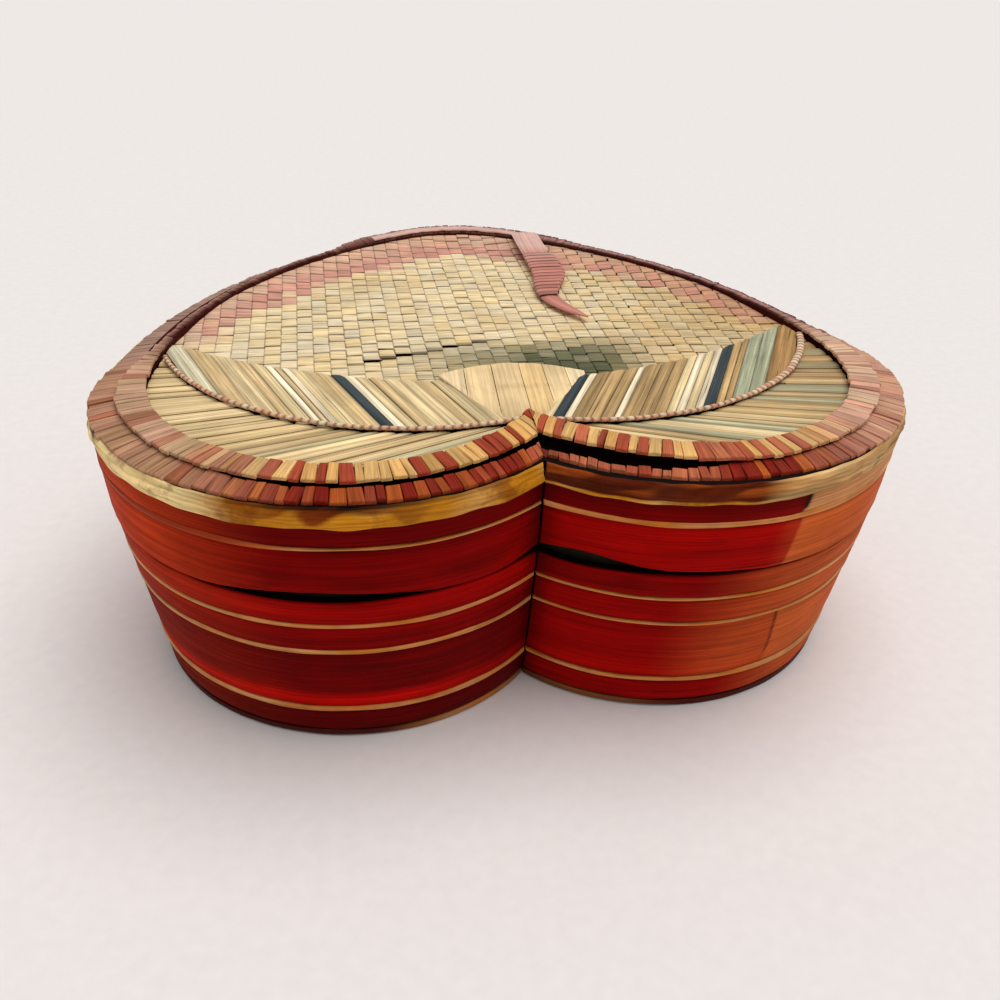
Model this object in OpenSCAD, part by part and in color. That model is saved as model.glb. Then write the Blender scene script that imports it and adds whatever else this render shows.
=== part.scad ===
// Heart-shaped straw-work box with a lift-off lid, in millimetres.
// The tip of the heart points to +Y, the cleft between the lobes faces -Y, and +Z is up.
// The origin is on the ground, under the middle of the box.

/* [Outline] */
// Width across the two lobes at the rim band
overall_w = 210; // [202:1:218]
// Length from the front of the lobes to the tip
overall_l = 197; // [190:1:204]
// Radius of each lobe
lobe_r = 64; // [61:0.5:67]
// Radius of the long flanks
flank_r = 155; // [148:1:165]
// Radius of the rounded tip
tip_r = 47; // [43:0.5:51]

/* [Base] */
// Height of the base wall
base_h = 47; // [42:0.5:54]
// Inward lean of the base wall, in degrees
base_lean = 9; // [6:0.5:10]
// Thickness of the floor board
floor_t = 2.4; // [1.6:0.1:3.6]
// Thickness of the plaited mat on the floor
mat_t = 0.9; // [0.5:0.1:1.5]
// Height that the collar stands above the base wall
collar_rise = 14; // [8:0.5:18]
// Depth that the collar is glued down inside the base wall
collar_depth = 13; // [8:0.5:18]
// Thickness of the collar
collar_t = 1.6; // [1:0.1:2.4]
// Height of the natural binding round the foot
foot_h = 2.6; // [2:0.1:4]
// Height of the binding's lower edge above the ground
foot_lift = 0.2; // [0.1:0.1:0.6]
// Height of the lowest red strip
low_strip_h = 6.8; // [5:0.1:8]
// Height of the wide red strip
wide_strip_h = 18.4; // [15:0.1:20]
// Height of the middle red strip
middle_strip_h = 6.8; // [5:0.1:8]

/* [Lid] */
// Height of the skirt under the lid board
skirt_h = 22.6; // [19:0.1:28]
// Inward lean of the skirt, in degrees
skirt_lean = 4; // [2:0.5:5]
// Gap at the seam between base and lid
seam_gap = 0.4; // [0.3:0.1:1]
// Height of the wide red strip on the skirt
skirt_wide_strip_h = 13.4; // [11:0.1:14]
// Height of the natural band at the rim
rim_band_h = 5.2; // [4:0.1:6.5]
// Height that the rim band stands above the board
rim_band_lip = 0.6; // [0.2:0.1:1]
// Thickness of the lid board
board_t = 2; // [1.4:0.1:3]
// Thickness of the lining under the board
lining_t = 0.7; // [0.4:0.1:1.2]
// Thickness of the woven sheet and of the border straws
sheet_t = 0.9; // [0.6:0.1:1.3]

/* [Walls and strips] */
// Thickness of the wall core
core_t = 2.2; // [1.6:0.1:3]
// Thickness of the leaf strips on the walls
strip_t = 0.8; // [0.5:0.1:1.1]
// Height of a natural line between two strips
line_h = 1.6; // [1.2:0.1:2]
// Height of the lowest natural line
low_line_h = 2.2; // [1.6:0.1:2.6]
// Height of a natural line's crown above the strips
line_crown = 0.3; // [0.1:0.05:0.5]
// Gap between neighbouring strips
strip_gap = 0.1; // [0.05:0.05:0.2]
// Gap where left and right strips meet
joint_gap = 0.3; // [0.2:0.1:0.8]

/* [Edging] */
// Width of one edging straw
edging_pitch = 3.6; // [3:0.1:4.5]
// Thickness of the edging straws
edging_t = 0.9; // [0.6:0.1:1.2]
// Gap between edging straws
edging_gap = 0.3; // [0.2:0.05:0.5]
// Inset of the lower edging from the rim
lower_inset = 2.2; // [1.6:0.1:3]
// Length of the lower edging straws
lower_len = 7.2; // [6.4:0.1:8]
// Width of the lower hoop
lower_hoop_w = 2; // [1.4:0.1:3]
// Height of the lower hoop
lower_hoop_h = 0.7; // [0.5:0.1:0.9]
// Width of the upper hoop
upper_hoop_w = 3.8; // [3:0.1:4.5]
// Height of the upper hoop
upper_hoop_h = 2.4; // [2.1:0.1:3]
// Reach of the upper straws out over the lower edging
upper_reach = 3; // [1:0.1:4]
// Reach of the upper straws in over the woven sheet
upper_lip = 1; // [0.4:0.1:1.4]

/* [Straw picture] */
// Radius of the fan at the cleft
fan_r = 33; // [29:0.5:36]
// Half angle of the fan, in degrees
fan_half_angle = 38; // [32:1:42]
// Number of straws in the fan
fan_count = 11; // [7:2:15]
// Thickness of the fan and wing straws
straw_t = 0.7; // [0.4:0.1:1.1]
// Width of a wing straw
wing_pitch = 3.7; // [3:0.1:5]
// Lean of the wing straws, in degrees
wing_lean = 66; // [60:1:72]
// Radius of the wings' upper edge
swag_r = 133; // [125:1:145]
// Height of that edge above the fan's point
swag_rise = 22.5; // [20:0.5:25]
// Radius of the corded lower edge of each wing
cord_arc_r = 69.5; // [67:0.5:72]
// Distance from the middle to that arc's centre
cord_arc_x = 22; // [20:0.5:24]
// Diameter of the edging cord
cord_d = 1.8; // [1.2:0.1:2.4]
// Width of a border straw
border_pitch = 3.3; // [2.6:0.1:4.5]
// Slope of the border straws, in degrees
border_slope = 5; // [2:1:8]
// Gap between neighbouring straws
straw_gap = 0.2; // [0.15:0.05:0.4]

/* [Tab] */
// Distance of the tab from the middle
tab_x = 25.5; // [22:0.5:29]
// Width of the tab
tab_w = 9.6; // [8:0.1:12]
// Thickness of the leaf
tab_t = 0.6; // [0.4:0.1:0.9]
// Length of the flat part of the tab
tab_l = 58; // [50:1:62]
// Length of the pointed end
point_l = 20; // [14:1:24]
// Sideways sweep of the point
point_sweep = 5; // [0:0.5:7]
// Upward tilt of the pointed end, in degrees
point_tilt = 6; // [2:1:10]
// Width of the leaf strip along the rim at the tip
rim_strip_w = 5; // [3:0.1:6]
// Thickness of that strip
rim_strip_t = 0.5; // [0.3:0.1:0.8]
// Number of turns of the wrapping
wrap_turns = 13; // [8:1:14]
// Distance from one turn to the next
wrap_pitch = 2.7; // [2.7:0.05:2.8]
// Width of the wrapping leaf
wrap_w = 2; // [1.4:0.1:2.2]
// Thickness of the wrapping leaf
wrap_t = 0.44; // [0.3:0.02:0.6]

/* [Hidden] */
$fa = 3;
$fs = 0.6;

// Colours of the leaf and straw
red_leaf = "firebrick";
natural_straw = "goldenrod";
pale_straw = "burlywood";
card = "tan";
pink_leaf = "palevioletred";

// Small clearances between pieces that are glued or laid on each other
glue = 0.1;
lay = 0.05;

// Centres of the arcs of the right half of the outline
reach = 2 * overall_l;
lobe_c = [overall_w / 2 - lobe_r, lobe_r - overall_l / 2];
tip_c = [0, overall_l / 2 - tip_r];
centre_span = norm(lobe_c - tip_c);
centre_dir = (lobe_c - tip_c) / centre_span;
centre_along = ((flank_r - tip_r) ^ 2 - (flank_r - lobe_r) ^ 2 + centre_span ^ 2) / (2 * centre_span);
centre_across = sqrt((flank_r - tip_r) ^ 2 - centre_along ^ 2);
flank_c = tip_c + centre_along * centre_dir - centre_across * [-centre_dir.y, centre_dir.x];

// Angles at which the lobe ends and the flank ends, and the steps along each arc
lobe_end = atan2(lobe_c.y - flank_c.y, lobe_c.x - flank_c.x);
flank_end = atan2(tip_c.y - flank_c.y, tip_c.x - flank_c.x);
crook_steps = 4;
lobe_steps = 18;
flank_steps = 10;
tip_steps = 4;

// Heights, from the ground up
low_strip_z = foot_h;
low_line_z = low_strip_z + low_strip_h;
wide_strip_z = low_line_z + low_line_h;
middle_line_z = wide_strip_z + wide_strip_h;
middle_strip_z = middle_line_z + line_h;
upper_line_z = middle_strip_z + middle_strip_h;
upper_strip_z = upper_line_z + line_h;
skirt_z = base_h + seam_gap;
board_z = skirt_z + skirt_h;
deck_z = board_z + board_t;
rim_z = deck_z + rim_band_lip;
sheet_z = deck_z + sheet_t;
skirt_line_z = skirt_z + skirt_wide_strip_h;
skirt_narrow_z = skirt_line_z + line_h;
rim_band_z = rim_z - rim_band_h;
upper_straw_z = deck_z + upper_hoop_h + lay;
rim_top_z = upper_straw_z + edging_t;

// Offsets from the rim outline: the walls lean in towards the ground
function skirt_off(z) = -(rim_z - z) * tan(skirt_lean);
base_step = 0.4;
function base_off(z) = skirt_off(skirt_z) - base_step - (base_h - z) * tan(base_lean);
board_off = skirt_off(board_z) - strip_t - glue;
lower_out = -lower_inset;
lower_in = lower_out - lower_len;
upper_hoop_out = lower_in - 4 * glue;
upper_hoop_in = upper_hoop_out - upper_hoop_w;
upper_out = upper_hoop_out + upper_reach;
upper_in = upper_hoop_in - upper_lip;
sheet_off = upper_hoop_in - 2 * glue;

// Depth of the cleft at an offset from the outline; lobes too small to meet are joined straight across
function cleft_y(d) = lobe_c.y - sqrt(max(0, (lobe_r + d) ^ 2 - lobe_c.x ^ 2));

// Points of the straw picture on the lid
fan_c = [0, cleft_y(upper_hoop_in)];
swag_c = [0, fan_c.y + swag_rise + swag_r];
cord_arc_c = [cord_arc_x, fan_c.y + sqrt(cord_arc_r ^ 2 - cord_arc_x ^ 2)];
cord_z = sheet_z + lay + cord_d / 2;

// Unit vector at an angle
function dir(a) = [cos(a), sin(a)];

// Angle on the lobe where it meets the middle plane, less a gap
function cleft_angle(d, gap = 0) = 180 + acos(min(1, (lobe_c.x - gap) / (lobe_r + d)));

// Angle just past the cleft, from which the points of every offset lie on the same rays
crook_angle = cleft_angle(0) + 6;

// Points along the right half at an offset from the outline, from the cleft to the tip
function arc_points(c, r, from, to, steps) = [for (i = [0 : steps - 1]) c + r * dir(from + (to - from) * i / steps)];
function half_points(d, gap = 0) = let(tip_angle = acos(gap / (tip_r + d))) concat(
    arc_points(lobe_c, lobe_r + d, cleft_angle(d, gap), crook_angle, crook_steps),
    arc_points(lobe_c, lobe_r + d, crook_angle, 360 + lobe_end, lobe_steps),
    arc_points(flank_c, flank_r + d, lobe_end, flank_end, flank_steps),
    arc_points(tip_c, tip_r + d, flank_end, tip_angle, tip_steps),
    [tip_c + (tip_r + d) * dir(tip_angle)]
);

// The same half mirrored to the left, from the tip back to the cleft, without its two ends
function left_points(right) = [for (i = [len(right) - 2 : -1 : 1]) [-right[i].x, right[i].y]];
function heart_points(d) = let(right = half_points(d)) concat(right, left_points(right));

// Lengths of the three arcs of one half, at an offset from the outline
function lobe_len(d) = (lobe_r + d) * (360 + lobe_end - cleft_angle(d)) * PI / 180;
function flank_len(d) = (flank_r + d) * (flank_end - lobe_end) * PI / 180;
function half_len(d) = lobe_len(d) + flank_len(d) + (tip_r + d) * (90 - flank_end) * PI / 180;

// Place along one half, a distance s from the cleft: [arc centre, arc radius, angle]
function arc_turn(s, r) = s / r * 180 / PI;
function along_half(s, d) =
    s < lobe_len(d) ? [lobe_c, lobe_r + d, cleft_angle(d) + arc_turn(s, lobe_r + d)]
    : s < lobe_len(d) + flank_len(d)
    ? [flank_c, flank_r + d, lobe_end + arc_turn(s - lobe_len(d), flank_r + d)]
    : [tip_c, tip_r + d, flank_end + arc_turn(s - lobe_len(d) - flank_len(d), tip_r + d)];

// Everything to the right of the middle plane, less a gap
module right_side(gap = 0) {
    translate([gap, -reach, -reach]) cube(2 * reach);
}

// Mirror a right-hand piece to the left
module left() {
    mirror([1, 0, 0]) children();
}

// Solid through a row of equal rings of points, with two flat ends or closed on itself
module loft(rings, closed = false) {
    sides = len(rings[0]);
    count = len(rings);
    last = closed ? count - 1 : count - 2;
    function at(i, k) = (i % count) * sides + k % sides;
    faces = concat(
        [for (i = [0 : last], k = [0 : sides - 1]) [at(i, k), at(i + 1, k), at(i, k + 1)]],
        [for (i = [0 : last], k = [0 : sides - 1]) [at(i + 1, k), at(i + 1, k + 1), at(i, k + 1)]],
        closed ? [] : [for (k = [1 : sides - 2]) [at(0, 0), at(0, k), at(0, k + 1)]],
        closed ? [] : [for (k = [1 : sides - 2]) [at(count - 1, 0), at(count - 1, k + 1), at(count - 1, k)]]
    );
    polyhedron([for (ring = rings, p = ring) p], faces);
}

// Rings of a profile along paths: the profile's points are [offset from the outline, height]
function path_rings(profile, paths) = [
    for (i = [0 : len(paths[0]) - 1]) [for (k = [0 : len(profile) - 1]) concat(paths[k][i], profile[k][1])]
];

// Carry a profile along the right half, or all the way round the heart
module sweep_right(profile) {
    loft(path_rings(profile, [for (p = profile) half_points(p[0], joint_gap / 2)]));
}
module sweep_heart(profile) {
    loft(path_rings(profile, [for (p = profile) heart_points(p[0])]), closed = true);
}

// A flat heart-shaped board, and a flat hoop between two offsets
module heart_board(d, z, t) {
    translate([0, 0, z]) linear_extrude(t) polygon(heart_points(d));
}
module heart_hoop(in, out, z, t) {
    translate([0, 0, z])
        linear_extrude(t)
            difference() {
                polygon(heart_points(out));
                polygon(heart_points(in));
            }
}

// Profile of a wall layer on the base or on the skirt, by height, depth below the face and thickness
function base_layer(z0, z1, depth, t) = [
    [base_off(z0) - depth - t, z0], [base_off(z0) - depth, z0],
    [base_off(z1) - depth, z1], [base_off(z1) - depth - t, z1]
];
function skirt_layer(z0, z1, depth, t) = [
    [skirt_off(z0) - depth - t, z0], [skirt_off(z0) - depth, z0],
    [skirt_off(z1) - depth, z1], [skirt_off(z1) - depth - t, z1]
];

// Profile of a natural line: a flat straw whose face rises to a crown
function line_profile(z, h, low_off, high_off) = [
    [low_off - strip_t, z], [low_off, z],
    [(low_off + high_off) / 2 + line_crown, z + h / 2], [high_off, z + h], [high_off - strip_t, z + h]
];

// One leaf strip round the right half of the base or of the skirt
module base_strip(z, h) {
    color(red_leaf) sweep_right(base_layer(z + strip_gap / 2, z + h - strip_gap / 2, 0, strip_t));
}
module skirt_strip(z, h) {
    color(red_leaf) sweep_right(skirt_layer(z + strip_gap / 2, z + h - strip_gap / 2, 0, strip_t));
}

// One natural line round the right half of the base or of the skirt
module base_line(z, h) {
    color(natural_straw) sweep_right(line_profile(z, h, base_off(z), base_off(z + h)));
}
module skirt_line(z, h) {
    color(natural_straw) sweep_right(line_profile(z, h, skirt_off(z), skirt_off(z + h)));
}

// Base: board, wall core, collar and mat
module base_floor() {
    color(card) heart_board(base_off(0) - strip_t - glue, 0, floor_t);
}
module base_wall() {
    color(card) sweep_heart(base_layer(floor_t, base_h, strip_t + glue, core_t - glue));
}
module base_collar() {
    low_z = base_h - collar_depth;
    high_z = base_h + collar_rise;
    low_off = base_off(low_z) - strip_t - core_t - glue;
    high_off = base_off(base_h) - strip_t - core_t - glue;
    color(pale_straw)
        sweep_heart([
            [low_off - collar_t, low_z], [low_off, low_z], [high_off, base_h], [high_off, high_z],
            [high_off - collar_t, high_z], [high_off - collar_t, base_h]
        ]);
}
module floor_mat() {
    color(pale_straw) heart_board(base_off(floor_t) - strip_t - core_t - 2 * glue, floor_t, mat_t);
}

// Base: leaf strips and natural lines, from the foot up
module foot_binding() {
    color(natural_straw) sweep_right(base_layer(foot_lift, foot_h - strip_gap / 2, 0, strip_t));
}
module base_low_strip() {
    base_strip(low_strip_z, low_strip_h);
}
module base_low_line() {
    base_line(low_line_z, low_line_h);
}
module base_wide_strip() {
    base_strip(wide_strip_z, wide_strip_h);
}
module base_middle_line() {
    base_line(middle_line_z, line_h);
}
module base_middle_strip() {
    base_strip(middle_strip_z, middle_strip_h);
}
module base_upper_line() {
    base_line(upper_line_z, line_h);
}
module base_upper_strip() {
    base_strip(upper_strip_z, base_h - upper_strip_z);
}

// Lid: board, skirt core and lining
module lid_board() {
    color(card) heart_board(board_off, board_z, board_t);
}
module lid_skirt() {
    color(card) sweep_heart(skirt_layer(skirt_z, board_z, strip_t + glue, core_t - glue));
}
module lid_lining() {
    lining_z = board_z - lining_t;
    color(pale_straw) heart_board(skirt_off(lining_z) - strip_t - core_t - 2 * glue, lining_z, lining_t);
}

// Lid: leaf strips, natural line and rim band, from the seam up
module skirt_wide_strip() {
    skirt_strip(skirt_z, skirt_wide_strip_h);
}
module skirt_natural_line() {
    skirt_line(skirt_line_z, line_h);
}
module skirt_narrow_strip() {
    skirt_strip(skirt_narrow_z, rim_band_z - skirt_narrow_z);
}
module rim_band() {
    color(natural_straw) sweep_right(skirt_layer(rim_band_z + strip_gap / 2, rim_z, 0, strip_t));
}

// A row of straws across the edge of the right half: each is a wedge that fills its share of the arc
module edging_row(in, out, z, tilt) {
    middle = (in + out) / 2;
    count = round(half_len(middle) / edging_pitch);
    pitch = half_len(middle) / count;
    half_l = (out - in) / 2;
    intersection() {
        union() {
            for (i = [0 : count - 1]) {
                place = along_half((i + 0.5) * pitch, middle);
                half_w_in = (pitch * (1 - half_l / place[1]) - edging_gap) / 2;
                half_w_out = (pitch * (1 + half_l / place[1]) - edging_gap) / 2;
                translate(concat(place[0] + place[1] * dir(place[2]), z))
                    rotate([0, 0, place[2]])
                        rotate([0, tilt, 0])
                            linear_extrude(edging_t)
                                polygon([
                                    [-half_l, -half_w_in], [half_l, -half_w_out],
                                    [half_l, half_w_out], [-half_l, half_w_in]
                                ]);
            }
        }
        right_side(joint_gap / 2);
    }
}

// Lid: lower edging, which tilts down from its hoop to the board
lower_tilt = atan(lower_hoop_h / (lower_len - lower_hoop_w));
lower_straw_z = deck_z + 2 * lay + lower_len / 2 * sin(lower_tilt);
module lower_hoop() {
    color(card) heart_hoop(lower_in, lower_in + lower_hoop_w, deck_z, lower_hoop_h);
}
module lower_edging() {
    color(red_leaf) edging_row(lower_in, lower_out, lower_straw_z, lower_tilt);
}

// Lid: upper edging, flat on a taller hoop, overhanging on both sides
module upper_hoop() {
    color(card) heart_hoop(upper_hoop_in, upper_hoop_out, deck_z, upper_hoop_h);
}
module upper_edging() {
    color(natural_straw) edging_row(upper_in, upper_out, upper_straw_z, 0);
}

// Right-hand part of the lid inside an offset, up to the middle of the wing cord's arc
module cord_side_area(d) {
    intersection() {
        polygon(heart_points(d));
        translate([joint_gap / 2, -reach]) square([reach, reach + cord_arc_c.y]);
    }
}

// Area of the right-hand border between the wing's cord and the edging
module border_area(gap) {
    difference() {
        cord_side_area(sheet_off);
        translate(cord_arc_c) circle(cord_arc_r + gap);
    }
}

// Lid: plaited sheet over the board, and the borders in front of it
module woven_sheet() {
    color(pale_straw)
        translate([0, 0, deck_z])
            linear_extrude(sheet_t)
                difference() {
                    polygon(heart_points(sheet_off));
                    border_area(-2 * glue);
                    mirror([1, 0]) border_area(-2 * glue);
                }
}
module border_straws() {
    drop = overall_w / 2 * tan(border_slope);
    count = ceil((cord_arc_c.y - lobe_c.y + lobe_r + drop) / border_pitch);
    color(pale_straw)
        translate([0, 0, deck_z])
            for (i = [0 : count])
                linear_extrude(sheet_t)
                    intersection() {
                        border_area(0);
                        translate([0, lobe_c.y - lobe_r + i * border_pitch])
                            rotate(-border_slope)
                                square([reach, border_pitch - straw_gap]);
                    }
}

// Area of the right-hand wing: inside the cord, below the swag and outside the fan
module wing_area() {
    difference() {
        intersection() {
            translate(cord_arc_c) circle(cord_arc_r - cord_d / 2 - glue);
            polygon(heart_points(sheet_off));
            translate([joint_gap / 2, -reach]) square(2 * reach);
        }
        translate(swag_c) circle(swag_r);
        polygon([fan_c, fan_c + reach * dir(90 - fan_half_angle), fan_c + reach * dir(90)]);
    }
}
module wing_straws() {
    step = wing_pitch / sin(wing_lean);
    count = ceil(overall_w / 2 / step);
    color(pale_straw)
        translate([0, 0, sheet_z])
            for (i = [0 : count])
                linear_extrude(straw_t)
                    intersection() {
                        wing_area();
                        translate([i * step, fan_c.y])
                            rotate(wing_lean)
                                translate([-reach / 2, 0])
                                    square([reach, wing_pitch - straw_gap]);
                    }
}

// Lid: fan of tapering straws that meet at the cleft
module fan_straws() {
    step = 2 * fan_half_angle / fan_count;
    first = 90 - fan_half_angle;
    color(natural_straw)
        translate([0, 0, sheet_z])
            for (i = [0 : fan_count - 1])
                linear_extrude(straw_t)
                    intersection() {
                        translate(fan_c) circle(fan_r);
                        translate(fan_c)
                            translate((cord_d + straw_gap / sin(step / 2)) * dir(first + (i + 0.5) * step))
                                polygon([
                                    [0, 0], reach * dir(first + i * step), reach * dir(first + (i + 1) * step)
                                ]);
                    }
}

// Lid: cord along the lower edge of the right-hand wing, from the cleft to the edging
module wing_cord() {
    color(pink_leaf)
        intersection() {
            translate([cord_arc_c.x, cord_arc_c.y, cord_z])
                rotate_extrude() translate([cord_arc_r, 0]) circle(d = cord_d);
            translate([0, 0, deck_z]) linear_extrude(reach) cord_side_area(upper_in - 2 * glue);
        }
}

// Lid: leaf strip on the edging at the tip, folded over at its right-hand end to make the tab
rim_strip_z = rim_top_z + lay;
strip_middle = (upper_in + upper_out) / 2;
fold_y = flank_c.y + sqrt((flank_r + strip_middle) ^ 2 - (tab_x - flank_c.x) ^ 2);
fold_z = rim_strip_z + rim_strip_t;
module rim_strip() {
    color(pink_leaf) {
        intersection() {
            heart_hoop(strip_middle - rim_strip_w / 2, strip_middle + rim_strip_w / 2, rim_strip_z, rim_strip_t);
            translate([-tab_x - 1.5 * tab_w, 0, 0]) cube([2 * tab_x + tab_w + rim_strip_w / 4, reach, reach]);
        }
        translate([tab_x - tab_w / 2, fold_y - rim_strip_w / 2, rim_strip_z])
            cube([tab_w, rim_strip_w, rim_strip_t + tab_t]);
    }
}

// Tab: it turns about the fold, lies down over the woven sheet, and its point lifts again
tab_hinge = [tab_x, fold_y - rim_strip_w / 2 - tab_t, fold_z + tab_t / 2];
wrap_reach = tab_t / 2 + 2 * wrap_t;
tab_slope = asin((tab_hinge.z - sheet_z - wrap_reach - 2 * lay) / tab_l);
module tab_leaf() {
    color(pink_leaf)
        translate(tab_hinge)
            rotate([tab_slope, 0, 0]) {
                rotate([0, 90, 0]) cylinder(d = tab_t, h = tab_w, center = true);
                translate([-tab_w / 2, -tab_l, -tab_t / 2]) cube([tab_w, tab_l, tab_t]);
                translate([0, -tab_l, 0])
                    rotate([-tab_slope - point_tilt, 0, 0]) {
                        rotate([0, 90, 0]) cylinder(d = tab_t, h = tab_w, center = true);
                        translate([0, 0, -tab_t / 2]) linear_extrude(tab_t) point_area();
                    }
            }
}

// Outline of the pointed end, which curves to one side
module point_area() {
    steps = 12;
    function side(t, w) = [point_sweep * t ^ 2 + w * (1 - t ^ 1.5), -point_l * t];
    polygon(concat(
        [for (i = [0 : steps]) side(i / steps, tab_w / 2)],
        [for (i = [steps - 1 : -1 : 0]) side(i / steps, -tab_w / 2)]
    ));
}

// Wrapping: one flat leaf wound round the tab as a helix with a rounded rectangular turn
wrap_rings = 24;
wrap_end = tab_l - 2;
function signed_root(v) = sign(v) * sqrt(abs(v));
function wrap_middle(a) = [
    (tab_w / 2 + wrap_t) * signed_root(cos(a)),
    -wrap_end + wrap_pitch * a / 360,
    wrap_reach_mid * signed_root(sin(a))
];
wrap_reach_mid = tab_t / 2 + wrap_t;
function wrap_out(a) = let(n = [cos(a) * abs(cos(a)) / tab_w, sin(a) * abs(sin(a)) / tab_t]) n / norm(n);
wrap_section = [[1, 0.4], [0, 1], [-1, 0.4], [-1, -0.4], [0, -1], [1, -0.4]];
function wrap_ring(a) = [
    for (c = wrap_section)
        wrap_middle(a) + c[1] * wrap_t / 2 * [wrap_out(a).x, 0, wrap_out(a).y] + [0, c[0] * wrap_w / 2, 0]
];
wrap_count = wrap_turns * wrap_rings;
wrap_points = [for (i = [0 : wrap_count]) wrap_ring(45 + i * 360 / wrap_rings)];
wrap_gap = min([
    for (i = [0 : wrap_count - wrap_rings], p = wrap_points[i], q = wrap_points[i + wrap_rings]) norm(p - q)
]);
echo("least gap between the turns of the wrapping", wrap_gap);
module tab_wrapping() {
    color(pink_leaf) translate(tab_hinge) rotate([tab_slope, 0, 0]) loft(wrap_points);
}

base_floor();
base_wall();
base_collar();
floor_mat();
left() foot_binding();  // foot_binding_left
foot_binding();  // foot_binding_right
left() base_low_strip();  // base_low_strip_left
base_low_strip();  // base_low_strip_right
left() base_low_line();  // base_low_line_left
base_low_line();  // base_low_line_right
left() base_wide_strip();  // base_wide_strip_left
base_wide_strip();  // base_wide_strip_right
left() base_middle_line();  // base_middle_line_left
base_middle_line();  // base_middle_line_right
left() base_middle_strip();  // base_middle_strip_left
base_middle_strip();  // base_middle_strip_right
left() base_upper_line();  // base_upper_line_left
base_upper_line();  // base_upper_line_right
left() base_upper_strip();  // base_upper_strip_left
base_upper_strip();  // base_upper_strip_right
lid_board();
lid_skirt();
lid_lining();
left() skirt_wide_strip();  // skirt_wide_strip_left
skirt_wide_strip();  // skirt_wide_strip_right
left() skirt_natural_line();  // skirt_line_left
skirt_natural_line();  // skirt_line_right
left() skirt_narrow_strip();  // skirt_narrow_strip_left
skirt_narrow_strip();  // skirt_narrow_strip_right
left() rim_band();  // rim_band_left
rim_band();  // rim_band_right
lower_hoop();
left() lower_edging();  // lower_edging_left
lower_edging();  // lower_edging_right
upper_hoop();
left() upper_edging();  // upper_edging_left
upper_edging();  // upper_edging_right
woven_sheet();
left() border_straws();  // border_straws_left
border_straws();  // border_straws_right
left() wing_straws();  // wing_straws_left
wing_straws();  // wing_straws_right
fan_straws();
left() wing_cord();  // wing_cord_left
wing_cord();  // wing_cord_right
rim_strip();
tab_leaf();
tab_wrapping();
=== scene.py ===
"""Dresses a heart-shaped straw-work box: leaf strips, straw edging, plaited lid, straw picture and pull tab.

Lengths inside the functions are in millimetres, and become metres where a mesh is made. Along the outline,
t is 0 at the cleft, 1 at the tip and negative on the left. An offset d is outwards from the outline.
"""

import math

import bpy
import numpy as np
from bpy.props import FloatProperty, FloatVectorProperty, IntProperty, PointerProperty
from mathutils import Matrix, Vector
from numpy.random import default_rng


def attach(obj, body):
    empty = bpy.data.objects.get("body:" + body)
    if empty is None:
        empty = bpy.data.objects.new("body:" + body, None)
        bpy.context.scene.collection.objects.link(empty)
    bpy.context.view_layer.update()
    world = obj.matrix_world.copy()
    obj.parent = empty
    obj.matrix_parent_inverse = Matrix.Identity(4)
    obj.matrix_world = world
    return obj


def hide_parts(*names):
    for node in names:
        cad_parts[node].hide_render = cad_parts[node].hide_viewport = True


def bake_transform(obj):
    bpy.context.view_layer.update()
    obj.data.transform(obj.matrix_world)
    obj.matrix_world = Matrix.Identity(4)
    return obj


bl_info = {
    "name": "Straw Box Dressing",
    "version": (1, 0, 0),
    "blender": (4, 5, 0),
    "location": "View3D > Sidebar > Straw Box",
    "description": "Leaf strips, straw edging, plaited lid, straw picture and pull tab of a heart-shaped box",
    "category": "Object",
}

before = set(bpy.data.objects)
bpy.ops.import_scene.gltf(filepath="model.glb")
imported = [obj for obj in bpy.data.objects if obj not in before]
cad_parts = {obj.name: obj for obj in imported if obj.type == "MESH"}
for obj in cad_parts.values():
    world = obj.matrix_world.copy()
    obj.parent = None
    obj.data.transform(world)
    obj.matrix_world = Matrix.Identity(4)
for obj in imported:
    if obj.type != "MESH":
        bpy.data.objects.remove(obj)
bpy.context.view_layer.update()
MM = 0.001
# Millimetres in one unit of a piece's grain map, and inputs of a Map Range node for the values of noise
GRAIN_MM, NOISE_SPAN = 100, {1: 0.3, 2: 0.7}
SIDES = (("left", -1.0), ("right", 1.0))

# Outline of the heart: lobe, flank and tip arcs of the right half, and the angles where they touch
LOBE_R, FLANK_R, TIP_R = 64.0, 155.0, 47.0
LOBE_C, FLANK_C, TIP_C = np.array([41.0, -34.5]), np.array([-49.4472, -44.5155]), np.array([0.0, 51.5])
LOBE_END, FLANK_END = math.radians(6.31881), math.radians(62.7519)
CLEFT = math.pi + math.acos(LOBE_C[0] / LOBE_R)
LOBE_LEN = LOBE_R * (2 * math.pi + LOBE_END - CLEFT)
FLANK_LEN = FLANK_R * (FLANK_END - LOBE_END)
HALF_LEN = LOBE_LEN + FLANK_LEN + TIP_R * (math.pi / 2 - FLANK_END)
LOBE_T, FLANK_T = LOBE_LEN / HALF_LEN, (LOBE_LEN + FLANK_LEN) / HALF_LEN
# Half the width and half the length of the outline
HALF_X, HALF_Y = LOBE_C[0] + LOBE_R, TIP_C[1] + TIP_R

# Ends of a strip on one half, just clear of the cleft and the tip, and the places along a closed ring
T_FIRST, T_LAST = 0.0014, 0.9994
RING_T = np.concatenate([np.linspace(0, 1, 200)[:-1], np.linspace(-1, 0, 200)[:-1]])[:, None]

# Heights: seam, lower edge of the lid, underside and top of its board, top of its wall, plaited sheet
SEAM_Z, SKIRT_Z, BOARD_Z, DECK_Z, RIM_Z, SHEET_Z = 47.0, 47.4, 70.0, 72.0, 72.6, 72.9
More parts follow.
